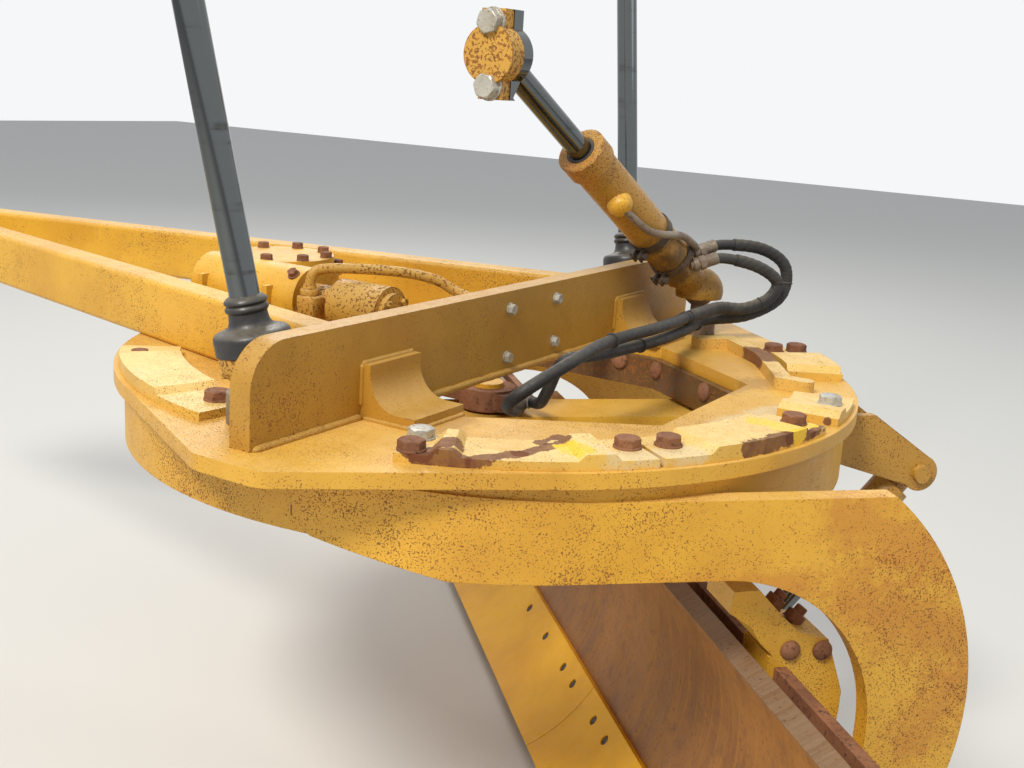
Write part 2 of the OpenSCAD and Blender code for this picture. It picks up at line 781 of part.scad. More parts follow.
// Blade carrier
tube_half = arm_in - 10;
tip_eye = [pivot_x, tip_y, pivot_z + tip_eye_z];
eye_w = 56;
lug_t = 22;
open_pin_r = 14;
module pivot_tube() {
    color(shade)
        turned() difference() {
            union() {
                translate([pivot_x, 0, pivot_z]) rotate([90, 0, 0])
                    cylinder(r = pivot_tube_r, h = 2 * (carrier_y - carrier_w / 2), center = true);
                for (side = [-1, 1])
                    along(tip_y + side * (eye_w + 10 + lug_t) / 2 - lug_t / 2,
                        tip_y + side * (eye_w + 10 + lug_t) / 2 + lug_t / 2) {
                            translate([tip_eye[0], tip_eye[2]]) circle(34);
                            translate([pivot_x - 34, pivot_z]) square([68, tip_eye_z]);
                        }
                translate(tip_eye) rotate([90, 0, 0])
                    cylinder(r = open_pin_r, h = eye_w + 10 + 2 * lug_t, center = true);
            }
            for (side = [-1, 1])
                translate([pivot_x, side * tube_half, pivot_z]) rotate([side * 90, 0, 0])
                    cylinder(r = pivot_pin_r + run_gap, h = pin_in + 10);
        }
}
blade_x = blade_back_x + blade_r + blade_t;
rail_x = blade_back_x - rail_gap;
slide_x = rail_x - 44;
rail_back = rail_x - rail_t;
guide_back = rail_back - slide_gap - guide_t;
guide_front = rail_x + slide_gap + 14;
module guide_profile(z) {
    free_h = rail_h / 2 + slide_gap;
    difference() {
        translate([guide_back, z - free_h - lip_t]) square([guide_front - guide_back, 2 * (free_h + lip_t)]);
        translate([rail_back - slide_gap, z - free_h]) square([rail_t + 2 * slide_gap, 2 * free_h]);
        translate([rail_x, z - web_t / 2 - 6]) square([100, web_t + 12]);
    }
}
module carrier_profile() {
    low = blade_z - rail_offset;
    high = blade_z + rail_offset;
    difference() {
        union() {
            guide_profile(low);
            guide_profile(high);
            translate([pivot_x, pivot_z]) circle(78);
            polygon([[pivot_x + 55, pivot_z + 55], [guide_back + 2, low - 40], [guide_back + 2, high + 62],
                [rail_x + 6, high + 62], [rail_x + 33, high + 88], [rail_x + 56, high + 123],
                [rail_x + 100, high + 151], [rail_x + 95, high + 192], [rail_x + 47, high + 194],
                [rail_x - 7, high + 138], [rail_x - 41, high + 108], [rail_x - 101, high + 91],
                [guide_back - 76, high - 15], [guide_back - 76, high - 52], [guide_back - 62, low + 40],
                [pivot_x - 70, pivot_z + 34]]);
            translate([slide_x, blade_z]) circle(slide_barrel_r + 24);
        }
        translate([slide_x, blade_z]) circle(slide_barrel_r);
        translate([guide_front, blade_z - 200]) square([200, 400]);
        translate([pivot_x, pivot_z]) circle(pivot_pin_r + run_gap);
    }
}
module carrier(side) {
    color(paint)
        turned() along(side * carrier_y - carrier_w / 2, side * carrier_y + carrier_w / 2) carrier_profile();
}
module carrier_left() carrier(1);
module carrier_right() carrier(-1);
module slide_barrel() {
    half = slide_barrel_len / 2;
    color(rust)
        turned() translate([slide_x, 0, blade_z]) rotate([-90, 0, 0]) difference() {
            translate([0, 0, -half]) cylinder(r = slide_barrel_r, h = slide_barrel_len);
            translate([0, 0, -half + 20]) cylinder(r = slide_barrel_r - 9, h = slide_barrel_len - 60);
            translate([0, 0, half - 50]) cylinder(r = slide_rod_r + run_gap, h = 60);
        }
}

// Moldboard, in the turned frame moved along to where it stands
module shifted() {
    turned() translate([0, blade_shift, 0]) children();
}
module blade_band(r0, r1, a0, a1) {
    translate([blade_x, blade_z]) ring_sector(r0, r1, a0, a1);
}
top_bar_span = top_bar_h / blade_r * 180 / PI;
module moldboard() {
    color(worn)
        shifted() along(-blade_len / 2, blade_len / 2)
            union() {
                blade_band(blade_r, blade_r + blade_t, blade_top_angle, blade_low_angle);
                blade_band(blade_r, blade_r + top_bar_t, blade_top_angle, blade_top_angle + top_bar_span);
            }
}
edge_gap = 2;
module cutting_edges() {
    from = edge_gap / 2;
    to = blade_len / 2 - end_bit_len - edge_gap;
    hole_angle = edge_from + edge_hole_down / blade_r * 180 / PI;
    more = floor((to - 30) / edge_hole_pitch);
    color(edge_paint)
        shifted() for (side = [0, 1]) mirror([0, side, 0])
            difference() {
                along(from, to) blade_band(blade_r - edge_t, blade_r, edge_from, edge_to);
                for (y = concat([edge_hole_pitch / 2], [for (k = [1:more]) k * edge_hole_pitch]))
                    translate([blade_x, y, blade_z]) rotate([0, 90 - hole_angle, 0])
                        translate([0, 0, blade_r - edge_t - 20])
                            cylinder(r = edge_hole_r, h = edge_t + 40, $fn = 36);
            }
}
module end_bits() {
    color(steel)
        shifted() for (side = [0, 1]) mirror([0, side, 0])
            along(blade_len / 2 - end_bit_len, blade_len / 2)
                blade_band(blade_r - edge_t, blade_r, edge_from - 14, edge_to);
}
module rail(z) {
    half = blade_len / 2 - rail_short;
    color(rust)
        shifted() difference() {
            along(-half, half) {
                translate([rail_back, z - rail_h / 2]) square([rail_t, rail_h]);
                translate([rail_x - 1, z - web_t / 2]) square([100, web_t]);
            }
            translate([blade_x, 0, blade_z]) rotate([90, 0, 0])
                cylinder(r = blade_r + blade_t, h = blade_len, center = true, $fn = 180);
        }
}
module upper_rail() rail(blade_z + rail_offset);
module lower_rail() rail(blade_z - rail_offset);
module slide_rod() {
    lug_w = 36;
    lug_r = 46;
    start = 575 - slide_barrel_len / 2;
    color(chrome)
        turned() {
            translate([slide_x, start, blade_z]) rotate([-90, 0, 0])
                cylinder(r = slide_rod_r, h = slide_lug_y + lug_w / 2 - start);
            difference() {
                along(slide_lug_y, slide_lug_y + lug_w) {
                    translate([slide_x, blade_z]) circle(lug_r);
                    translate([slide_x, blade_z - lug_r]) square([100, 2 * lug_r]);
                }
                translate([blade_x, 0, blade_z]) rotate([90, 0, 0])
                    cylinder(r = blade_r + blade_t, h = 2 * blade_len, center = true, $fn = 180);
            }
        }
}

// Tip cylinder, drawn from its upper pin towards its eye
tip_len = norm(tip_eye - clevis);
tip_barrel_end = 0.6 * tip_len;
tip_barrel_r = 42;
tip_rod_r = 20;
module tip_barrel() {
    color(paint)
        turned() aim(clevis, tip_eye) difference() {
            union() {
                rotate([90, 0, 0]) cylinder(r = 36, h = clevis_gap - 6, center = true);
                translate([0, 0, 20]) cylinder(r = tip_barrel_r - 12, h = 40);
                translate([0, 0, 55]) cylinder(r = tip_barrel_r, h = tip_barrel_end - 55);
            }
            rotate([90, 0, 0]) cylinder(r = clevis_pin_r + run_gap, h = 2 * clevis_gap, center = true);
            translate([0, 0, 80]) cylinder(r = tip_barrel_r - 9, h = tip_barrel_end - 110);
            translate([0, 0, tip_barrel_end - 40]) cylinder(r = tip_rod_r + run_gap, h = 50);
        }
}
module tip_rod() {
    color(chrome)
        turned() aim(clevis, tip_eye) difference() {
            union() {
                translate([0, 0, 110]) cylinder(r = tip_rod_r, h = tip_len - 130);
                translate([0, 0, tip_len]) rotate([90, 0, 0]) cylinder(r = 42, h = eye_w - 4, center = true);
            }
            translate([0, 0, tip_len]) rotate([90, 0, 0])
                cylinder(r = open_pin_r + 13, h = 2 * eye_w, center = true);
        }
}

// Lift cylinders, drawn from the ball upwards
lift_socket_r = lift_ball_r + 21;
socket_up = 36;
boot_from = 44;
boot_to = 86;
boot_r = lift_rod_r + 6;
cup_low = 42;
cup_mouth_r = 34;
cup_mouth = 30;
lift_rod_len = 1350;
module lift_frame() {
    foot = [lift_x, lift_y, lift_z];
    deck() aim(foot, foot + [lift_lean, lift_splay, 1]) children();
}
module lift_rod() {
    color(rubber) lift_frame() difference() {
        union() {
            translate([0, 0, -cup_low])
                cylinder(r1 = lift_socket_r - 14, r2 = lift_socket_r - 3, h = cup_low);
            cylinder(r = lift_socket_r, h = socket_up);
            translate([0, 0, socket_up])
                cylinder(r1 = lift_socket_r, r2 = boot_r + 4, h = boot_from - socket_up);
            translate([0, 0, boot_from]) cylinder(r = boot_r, h = boot_to - boot_from);
            for (z = [boot_to - 20, boot_to - 8]) translate([0, 0, z]) cylinder(r = boot_r + 3, h = 8);
            cylinder(r = lift_rod_r, h = lift_rod_len);
        }
        sphere(lift_ball_r + slide_gap);
        translate([0, 0, -cup_low - eps])
            cylinder(r1 = cup_mouth_r + 8, r2 = cup_mouth_r, h = cup_low - cup_mouth + eps);
    }
}
module lift_rod_left() lift_rod();
module lift_rod_right() mirror([0, 1, 0]) lift_rod();
trunnion_up = 250;
trunnion_in = lift_barrel_r + 20;
gland_len = 60;
module lift_barrel() {
    bore = lift_barrel_r - 9;
    color(paint) lift_frame() translate([0, 0, lift_reach]) difference() {
        union() {
            cylinder(r = lift_barrel_r, h = lift_barrel_len);
            cylinder(r = lift_barrel_r + 8, h = gland_len);
            translate([0, 0, trunnion_up - 40]) cylinder(r = lift_barrel_r + 12, h = 80);
            translate([0, 0, trunnion_up]) rotate([0, 90, 0]) {
                cylinder(r = trunnion_r + 11, h = 2 * trunnion_in, center = true);
                cylinder(r = trunnion_r, h = 2 * (trunnion_in + trunnion_len), center = true);
            }
        }
        translate([0, 0, -1]) cylinder(r = lift_rod_r + run_gap, h = gland_len + 10);
        translate([0, 0, gland_len]) cylinder(r = bore, h = lift_barrel_len - gland_len - 25);
    }
}
module lift_barrel_left() lift_barrel();
module lift_barrel_right() mirror([0, 1, 0]) lift_barrel();

// Centre shift cylinder, drawn from its ball towards the rod's far end
shift_len = norm(shift_end - shift_ball);
shift_socket_r = shift_ball_r + 20;
shift_neck_r = 38;
shift_barrel_low = 98;
module shift_barrel() {
    color(paint)
        deck() difference() {
            union() {
                translate(shift_ball) sphere(shift_socket_r);
                aim(shift_ball, shift_end) {
                    cylinder(r = shift_neck_r, h = shift_barrel_low + 10);
                    translate([0, 0, shift_barrel_low])
                        cylinder(r = shift_barrel_r, h = shift_barrel_end - shift_barrel_low);
                    translate([0, 0, shift_barrel_end - 45]) cylinder(r = shift_barrel_r + 7, h = 45);
                }
            }
            translate(shift_ball) sphere(shift_ball_r + slide_gap);
            translate(shift_ball + [-100, -100, -116]) cube([200, 200, 100]);
            aim(shift_ball, shift_end) {
                translate([0, 0, shift_barrel_low + 12])
                    cylinder(r = shift_barrel_r - 9, h = shift_barrel_end - shift_barrel_low - 60);
                translate([0, 0, shift_barrel_end - 60]) cylinder(r = shift_rod_r + run_gap, h = 70);
            }
        }
}
// Oil pipe on the barrel from its port near the rod's end, through points given by distance from the
// ball, angle round the barrel and distance from the barrel's middle
pipe_r = 9;
pipe_joint = 0.8;
pipe_at = 0;
pipe_angle = 1;
pipe_out = 2;
OIL_PIPE = [
    [424, 128, 65.5], [345, 134, 65.5], [303, 152, 65.5], [265, 173, 65.5], [227, 194, 65.5],
    [148, 212, 65.5], [133, 213, 54]
];
port_at = [448, 124, shift_barrel_r];
port_r = 24;
port_neck = 11;
port_len = 40;
function pipe_point(p) = [p[pipe_out] * cos(p[pipe_angle]), p[pipe_out] * sin(p[pipe_angle]), p[pipe_at]];
module shift_pipes() {
    color(steel)
        deck() difference() {
            union() {
                aim(shift_ball, shift_end) {
                    translate(pipe_point(port_at)) sphere(port_r);
                    for (i = [1:len(OIL_PIPE) - 1])
                        let (p = pipe_point(OIL_PIPE[i - 1]), q = pipe_point(OIL_PIPE[i])) {
                            aim(p, q) cylinder(r = pipe_r, h = norm(q - p), $fn = 36);
                            translate(p) sphere(i == 1 ? port_neck : pipe_r + pipe_joint, $fn = 36);
                        }
                }
                for (h = [HOSE_SHORT, HOSE_LONG])
                    let (way = (h[1] - h[0]) / norm(h[1] - h[0]))
                        aim(h[0] - port_len * way, h[0]) cylinder(r = port_neck, h = port_len - slide_gap);
            }
            aim(shift_ball, shift_end) translate([0, 0, -50])
                cylinder(r = shift_barrel_r + slide_gap, h = shift_barrel_end);
        }
}
band_w = 20;
band_t = 4;
module shift_bands() {
    color(rubber)
        deck() aim(shift_ball, shift_end) for (z = [151, 260])
            translate([0, 0, z]) difference() {
                cylinder(r = shift_barrel_r + slide_gap + band_t, h = band_w);
                translate([0, 0, -eps]) cylinder(r = shift_barrel_r + slide_gap, h = band_w + 2 * eps);
            }
}
link_r = link_ball_r + 20;
shift_rod_low = 372;
shift_seat = 63; // from the link's ball to the face that meets the closed barrel
module shift_rod() {
    color(chrome)
        deck() difference() {
            union() {
                aim(shift_ball, shift_end) translate([0, 0, shift_rod_low])
                    cylinder(r = shift_rod_r, h = shift_len - shift_rod_low - link_ball_r - 4);
                translate(shift_end) rotate([90, 0, 0]) cylinder(r = link_r, h = 34);
                translate(shift_end + [0, -17, 0]) cube([60, 34, 2 * link_r + 60], center = true);
            }
            translate(shift_end) sphere(link_ball_r + slide_gap);
            translate(shift_end) rotate([90, 0, 0]) cylinder(r = link_ball_r - 6, h = 60);
            aim(shift_ball, shift_end) translate([0, 0, shift_len - shift_seat - 60]) difference() {
                cylinder(r = shift_barrel_r + 12, h = 60);
                translate([0, 0, -eps]) cylinder(r = shift_rod_r, h = 60 + 2 * eps);
            }
        }
}
module shift_cap() {
    color(steel)
        deck() {
            difference() {
                union() {
                    translate(shift_end + [0, 44, 0]) rotate([90, 0, 0]) cylinder(r = link_r, h = 44);
                    translate(shift_end + [0, 15, 0]) cube([56, 30, 2 * link_r + 60], center = true);
                }
                translate(shift_end) sphere(link_ball_r + slide_gap);
            }
            for (side = [-1, 1])
                translate(shift_end + [0, 30, side * (link_r + 4)]) rotate([-90, 0, 0]) hex_bolt(44, 22);
        }
}

// Hoses, each swept along its own points as a ring of sides
hose_r = 13;
hose_sides = 8;
HOSE_LONG = [
    [-238, -555, 191], [-280, -592, 206], [-345, -660, 188], [-384, -709, 149], [-371, -693, 106],
    [-330, -645, 82], [-290, -580, 86], [-290, -434, 88], [-310, -200, 94], [-298, 20, 92],
    [-310, 200, 80], [-240, 295, 10], [-150, 130, -60], [-100, 22, -81], [-70.8, 22, -81]
];
HOSE_SHORT = [
    [-223, -578, 217], [-262, -625, 234], [-337, -706, 226], [-382, -763, 181], [-379, -759, 105],
    [-323, -689, 59], [-252, -590, 50], [-262, -500, 50], [-285, -380, 55], [-292, -200, 57],
    [-270, 0, 57], [-236, 90, 52], [-185, 60, -25], [-135, 0, -72], [-100, -22, -81], [-70.8, -22, -81]
];
function spline(p, t) =
    let (n = len(p) - 1, i = min(n - 1, floor(t)), f = t - i,
        a = p[max(0, i - 1)], b = p[i], c = p[i + 1], d = p[min(n, i + 2)])
            0.5 * (2 * b + (c - a) * f + (2 * a - 5 * b + 4 * c - d) * f * f
                + (3 * b - a - 3 * c + d) * f * f * f);
function unit(v) = v / norm(v);
module hose(points, rings) {
    n = len(points) - 1;
    centre = [for (k = [0:rings]) spline(points, n * k / rings)];
    dir = [for (k = [0:rings])
        k == 0 ? unit(points[1] - points[0])
            : k == rings ? unit(points[n] - points[n - 1])
            : unit(centre[k + 1] - centre[k - 1])];
    skin = [for (k = [0:rings])
        let (side = unit(cross(dir[k], [0.2, 0.1, 1])), up = cross(side, dir[k]))
            for (j = [0:hose_sides - 1])
                centre[k] + hose_r * (cos(360 * j / hose_sides) * side + sin(360 * j / hose_sides) * up)];
    faces = concat(
        [[for (j = [0:hose_sides - 1]) j]],
        [for (k = [0:rings - 1], j = [0:hose_sides - 1])
            let (a = k * hose_sides + j, b = k * hose_sides + (j + 1) % hose_sides)
                [a, a + hose_sides, b + hose_sides, b]],
        [[for (j = [0:hose_sides - 1]) rings * hose_sides + hose_sides - 1 - j]]);
    color(rubber) deck() polyhedron(skin, faces, convexity = 8);
}
module hose_long() hose(HOSE_LONG, 38);
module hose_short() hose(HOSE_SHORT, 40);

hitch_ball();
nose();
beam_left();
beam_right();
yoke_plate();
yoke_skirt();
cross_wall();
wall_brackets();
guide_shoes();
shoe_bolts();
deck_bar();
wear_pads();
guide_clamps();
lift_studs();
shift_stud();
drive_case();
drive_motor();
swivel_body();
pinion();
circle_gear();
circle_drum();
circle_tie();
arm_left();
arm_right();
pivot_pins();
tip_clevis();
pivot_tube();
carrier_left();
carrier_right();
slide_barrel();
moldboard();
cutting_edges();
end_bits();
upper_rail();
lower_rail();
slide_rod();
tip_barrel();
tip_rod();
lift_rod_left();
lift_rod_right();
lift_barrel_left();
lift_barrel_right();
shift_barrel();
shift_pipes();
shift_bands();
shift_rod();
shift_cap();
hose_long();
hose_short();
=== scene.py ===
import math

import bmesh
import bpy
import numpy as np
from mathutils import Matrix, Vector


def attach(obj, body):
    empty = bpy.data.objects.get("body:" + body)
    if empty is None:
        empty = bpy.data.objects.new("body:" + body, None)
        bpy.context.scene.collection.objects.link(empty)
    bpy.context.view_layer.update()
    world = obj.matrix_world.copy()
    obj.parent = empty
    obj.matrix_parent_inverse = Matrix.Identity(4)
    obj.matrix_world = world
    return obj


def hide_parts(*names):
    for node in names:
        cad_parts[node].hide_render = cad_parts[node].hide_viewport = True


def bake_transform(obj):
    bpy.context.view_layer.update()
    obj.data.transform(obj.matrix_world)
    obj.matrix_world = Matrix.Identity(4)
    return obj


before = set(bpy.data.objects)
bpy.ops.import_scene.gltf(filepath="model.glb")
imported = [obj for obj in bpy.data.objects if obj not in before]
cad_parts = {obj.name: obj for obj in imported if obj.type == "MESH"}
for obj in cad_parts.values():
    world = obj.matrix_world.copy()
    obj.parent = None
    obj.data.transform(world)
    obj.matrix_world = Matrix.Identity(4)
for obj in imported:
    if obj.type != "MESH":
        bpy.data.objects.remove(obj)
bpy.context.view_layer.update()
print("frame loaded")

deckCorner = np.array([-2.25, 0.0, -0.065])   # the deck's own origin, in metres from the hitch ball
circleTurn = math.radians(45)                 # how far the circle is turned at rest
samePoint = 1e-6                              # millimetres within which a row of points is one point
sameVertex = 2e-6                             # metres within which vertices are joined

# Camera, at the height and place from which the drawbar is seen

cameraSet = {
    "place": (-3.64977, 2.21904, 0.53901),
    "right": (-0.8469, -0.52834, 0.06009),
    "up": (0.17808, -0.17533, 0.96827),
    "ahead": (0.50104, -0.83073, -0.24257),
    "lens": 43.12,
    "sensor": 36.0,
}


def makeCamera(s):
    data = bpy.data.cameras.new("camera")
    data.lens = s["lens"]
    data.sensor_width = s["sensor"]
    data.clip_start = 0.05
    data.clip_end = 60
    cam = bpy.data.objects.new("camera", data)
    bpy.context.scene.collection.objects.link(cam)
    r, u, a = (Vector(s[k]).normalized() for k in ("right", "up", "ahead"))
    cam.matrix_world = Matrix.Translation(s["place"]) @ Matrix((r, u, -a)).transposed().to_4x4()
    bpy.context.scene.camera = cam


makeCamera(cameraSet)

# Shapes: every piece is worked out in millimetres square to the deck and put into the frame at the end


# From millimetres square to the deck, to metres in the frame
def framePoint(p):
    return np.asarray(p, float) / 1000 + deckCorner


# From along and across the turned blade, to along and across the deck
def fromBlade(p):
    p = np.asarray(p, float)
    c, s = math.cos(circleTurn), math.sin(circleTurn)
    return np.stack([p[..., 0] * c - p[..., 1] * s, p[..., 0] * s + p[..., 1] * c, p[..., 2]], -1)


def unit(v):
    v = np.asarray(v, float)
    return v / np.linalg.norm(v, axis=-1, keepdims=True)


# Two directions square to the way and to each other
def squareTo(way):
    way = unit(way)
    side = unit(np.cross((0.0, 0.0, 1.0) if abs(way[2]) < 0.9 else (1.0, 0.0, 0.0), way))
    return side, np.cross(way, side), way


def turnOf(sides):
    return np.linspace(0, 2 * np.pi, sides, endpoint=False)


# Grids of points that become one mesh, closed at their ends and facing outwards
class Shell:
    def __init__(self):
        self.points, self.faces, self.used = [], [], 0

    # Rows of points, each row closed round; joined also joins the last row to the first
    def grid(self, p, joined=False):
        rows, cols = p.shape[:2]
        k = self.used + np.arange(rows * cols).reshape(rows, cols)
        wide = np.concatenate([k, k[:, :1]], 1)
        if joined:
            wide = np.concatenate([wide, wide[:1]], 0)
        quads = np.stack([wide[:-1, :-1], wide[:-1, 1:], wide[1:, 1:], wide[1:, :-1]], -1)
        self.faces += quads.reshape(-1, 4).tolist()
        flat = p.reshape(-1, 3)
        for end in () if joined else (k[0, ::-1], k[-1]):
            if np.ptp(flat[end - self.used], 0).max() > samePoint:
                self.faces.append(end.tolist())
        self.points.append(flat)
        self.used += rows * cols

    def build(self, name, finish, body, sharp=35.0, standsFor=()):
        mesh = bpy.data.meshes.new(name)
        mesh.from_pydata(framePoint(np.concatenate(self.points)).tolist(), [], self.faces)
        work = bmesh.new()
        work.from_mesh(mesh)
        bmesh.ops.remove_doubles(work, verts=work.verts, dist=sameVertex)
        bmesh.ops.recalc_face_normals(work, faces=work.faces)
        work.to_mesh(mesh)
        work.free()
        mesh.shade_smooth()
        mesh.set_sharp_from_angle(angle=math.radians(sharp))
        mesh.materials.append(mats[finish])
        piece = bpy.data.objects.new(name, mesh)
        bpy.context.scene.collection.objects.link(piece)
        if body:
            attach(piece, body)
        if standsFor:
            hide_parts(*standsFor)
        return piece


# Rings about a line: the start, plus the distance along it, plus the radius turned by each angle
def ringPoints(start, axes, along, radius, a):
    side, up, ahead = axes
    return (np.asarray(start, float) + along[..., None] * ahead + (radius * np.cos(a))[..., None] * side
            + (radius * np.sin(a))[..., None] * up)


# Turned shape: rings from a profile of distances along the line and radii
def turnShape(shell, start, way, profile, sides=48, joined=False, ripple=None):
    profile = np.asarray(profile, float)
    a = turnOf(sides)
    along = profile[:, 0, None] + 0 * a
    radius = profile[:, 1, None] + 0 * a
    if ripple is not None:
        radius = ripple(along, radius, a)
    shell.grid(ringPoints(start, squareTo(way), along, radius, a), joined)


# Tube: rings square to a path, each with its own radius
def tubeShape(shell, path, radius, sides=16, refer=(0.2, 0.1, 1.0), ripple=None):
    path = np.asarray(path, float)
    way = unit(np.gradient(path, axis=0))
    side = unit(np.cross(np.broadcast_to(refer, path.shape), way))
    up = np.cross(way, side)
    a = turnOf(sides)
    radius = np.reshape(radius, (-1, 1)) + np.zeros((len(path), sides))
    if ripple is not None:
        radius = ripple(radius, a)
    around = np.cos(a)[:, None] * side[:, None] + np.sin(a)[:, None] * up[:, None]
    shell.grid(path[:, None] + radius[..., None] * around)


# Hexagon bolt or nut: a washer, six flats cut by a cone at the crown, and a stud if it has one
def boltShape(shell, foot, way, s, spin=0.0):
    a = turnOf(48)
    flat = s["across"] / 2
    hexagon = flat / np.cos((a + spin + np.pi / 6) % (np.pi / 3) - np.pi / 6)
    crown = 0.93 * flat
    fall = 0.55 * (hexagon - crown)
    chamfer = 0.7
    w, t = s["washer"], s["washerThick"]
    top = t + s["height"]
    rows = [(0, 0), (w, 0), (w, t - chamfer), (w - chamfer, t)]
    rows += [(hexagon, t), (hexagon, top - fall), (crown, top)]
    if "stud" in s:
        r, rise = s["stud"]
        rows += [(r, top), (r, top + rise - 2), (r - 2, top + rise), (0, top + rise)]
    else:
        middle = top - s.get("dish", 0.0)
        rows += [(0.5 * crown, middle), (0, middle)]
    radius = np.array([row[0] + 0 * a for row in rows])
    along = np.array([row[1] + 0 * a for row in rows])
    shell.grid(ringPoints(foot, squareTo(way), along, radius, a))


# Rounded block: a sphere's grid whose eight parts are moved out to the block's corners
def blockShape(shell, centre, axes, half, soft, steps=8):
    u = np.linspace(-np.pi / 2, np.pi / 2, steps)[:, None]
    v = (np.arange(2 * steps) + 0.5)[None] * np.pi / steps
    n = np.stack([np.cos(u) * np.cos(v), np.cos(u) * np.sin(v), np.sin(u) + 0 * v], -1)
    place = np.where(n >= 0, 1.0, -1.0) * (np.asarray(half, float) - soft)
    local = place + soft * n
    shell.grid(np.asarray(centre, float) + local @ np.array([unit(x) for x in axes]))


# Rounds the corners of a route by cutting each corner several times
def roundedRoute(points, times):
    p = np.asarray(points, float)
    for _ in range(times):
        cut = np.stack([0.75 * p[:-1] + 0.25 * p[1:], 0.25 * p[:-1] + 0.75 * p[1:]], 1).reshape(-1, 3)
        p = np.concatenate([p[:1], cut[1:-1], p[-1:]])
    return p


# Points of a route at given lengths from its start
def routeAt(path, length):
    run = np.concatenate([[0.0], np.cumsum(np.linalg.norm(np.diff(path, axis=0), axis=1))])
    return np.stack([np.interp(length, run, path[:, k]) for k in range(3)], -1)


def routeLength(path):
    return float(np.linalg.norm(np.diff(path, axis=0), axis=1).sum())


# A curve through all its points: each stretch is a cubic whose slopes come from the neighbours
def throughPoints(points, steps):
    p = np.asarray(points, float)
    n = len(p) - 1
    t = np.linspace(0, n, n * steps + 1)
    i = np.minimum(n - 1, t.astype(int))
    f = (t - i)[:, None]
    a, b, c, d = p[np.maximum(i - 1, 0)], p[i], p[i + 1], p[np.minimum(i + 2, n)]
    curve = 2 * b + (c - a) * f + (2 * a - 5 * b + 4 * c - d) * f ** 2
    return 0.5 * (curve + (3 * b - a - 3 * c + d) * f ** 3)


# Weld bead: a tube along the corner whose radius rises and falls in scallops that lean back
def weldShape(shell, points, radius, pitch, seed, step=1.8):
    rng = np.random.default_rng(seed)
    line = np.asarray(points, float)
    total = routeLength(line)
    n = max(6, int(total / step))
    path = routeAt(line, np.linspace(0, total, n))
    knots = np.arange(0, n + 8, 8)
    wander = np.interp(np.arange(n), knots, rng.uniform(-1, 1, len(knots)))
    s = np.linspace(0, total, n)[:, None]

    def scallops(r, a):
        saw = (s / pitch + 0.3 * np.cos(a)[None]) % 1.0
        return r * (1 + 0.13 * saw)

    ends = np.clip(np.minimum(s, total - s) / radius, 0.15, 1.0) ** 0.5
    way = unit(path[-1] - path[0])
    refer = (0.0, 0.0, 1.0) if abs(way[2]) < 0.8 else (1.0, 0.3, 0.0)
    tubeShape(shell, path, (radius * (1 + 0.1 * wander))[:, None] * ends, 12, refer, scallops)


# Small helpers for shader nodes


def linear(r, g, b):
    return tuple(((c / 255 + 0.055) / 1.055) ** 2.4 if c > 10 else c / 3295 for c in (r, g, b)) + (1.0,)


# Short names for making and joining shader nodes in one tree
class Nodes:
    def __init__(self, tree):
        self.tree = tree

    def add(self, kind, **values):
        n = self.tree.nodes.new(kind)
        for k, v in values.items():
            setattr(n, k, v)
        return n

    def feed(self, source, target):
        if hasattr(source, "links"):
            self.tree.links.new(source, target)
        else:
            target.default_value = source

    def math(self, how, a, b=0.0, clamp=False):
        n = self.add("ShaderNodeMath", operation=how, use_clamp=clamp)
        self.feed(a, n.inputs[0])
        self.feed(b, n.inputs[1])
        return n.outputs[0]

    def vector(self, how, a, b=(0.0, 0.0, 0.0), output="Vector"):
        n = self.add("ShaderNodeVectorMath", operation=how)
        self.feed(a, n.inputs[0])
        self.feed(b, n.inputs[3] if how == "SCALE" else n.inputs[1])
        return n.outputs[output]

    def remap(self, value, low, high, to0=0.0, to1=1.0):
        n = self.add("ShaderNodeMapRange", clamp=True, interpolation_type="SMOOTHSTEP")
        for socket, v in zip(n.inputs[0:5], (value, low, high, to0, to1)):
            self.feed(v, socket)
        return n.outputs[0]

    def mix(self, factor, a, b):
        n = self.add("ShaderNodeMix", data_type="RGBA", clamp_factor=True)
        self.feed(factor, n.inputs[0])
        self.feed(a, n.inputs[6])
        self.feed(b, n.inputs[7])
        return n.outputs[2]

    def noise(self, where, scale, detail, rough):
        n = self.add("ShaderNodeTexNoise")
        for name, v in (("Vector", where), ("Scale", scale), ("Detail", detail), ("Roughness", rough)):
            self.feed(v, n.inputs[name])
        return n.outputs["Fac"]

    def stretch(self, where, scale, turn=(0.0, 0.0, 0.0)):
        n = self.add("ShaderNodeMapping")
        self.feed(where, n.inputs["Vector"])
        n.inputs["Rotation"].default_value = turn
        n.inputs["Scale"].default_value = scale
        return n.outputs[0]

    # Bump over a normal that is rounded a little at the edges
    def bump(self, height, strength, distance, soft=0.002):
        n = self.add("ShaderNodeBump")
        n.inputs["Strength"].default_value = strength
        n.inputs["Distance"].default_value = distance
        self.feed(height, n.inputs["Height"])
        edge = self.add("ShaderNodeBevel", samples=4)
        edge.inputs["Radius"].default_value = soft
        self.feed(edge.outputs[0], n.inputs["Normal"])
        return n.outputs[0]


def newGroup(name, inputs):
    tree = bpy.data.node_groups.new(name, "ShaderNodeTree")
    tree.interface.new_socket(name="Vector", in_out="INPUT", socket_type="NodeSocketVector")
    for label, value in inputs:
        kind = "NodeSocketVector" if isinstance(value, tuple) else "NodeSocketFloat"
        tree.interface.new_socket(name=label, in_out="INPUT", socket_type=kind).default_value = value
    tree.interface.new_socket(name="Mask", in_out="OUTPUT", socket_type="NodeSocketFloat")
    inp = tree.nodes.new("NodeGroupInput").outputs
    out = tree.nodes.new("NodeGroupOutput").inputs
    return tree, Nodes(tree), inp, out


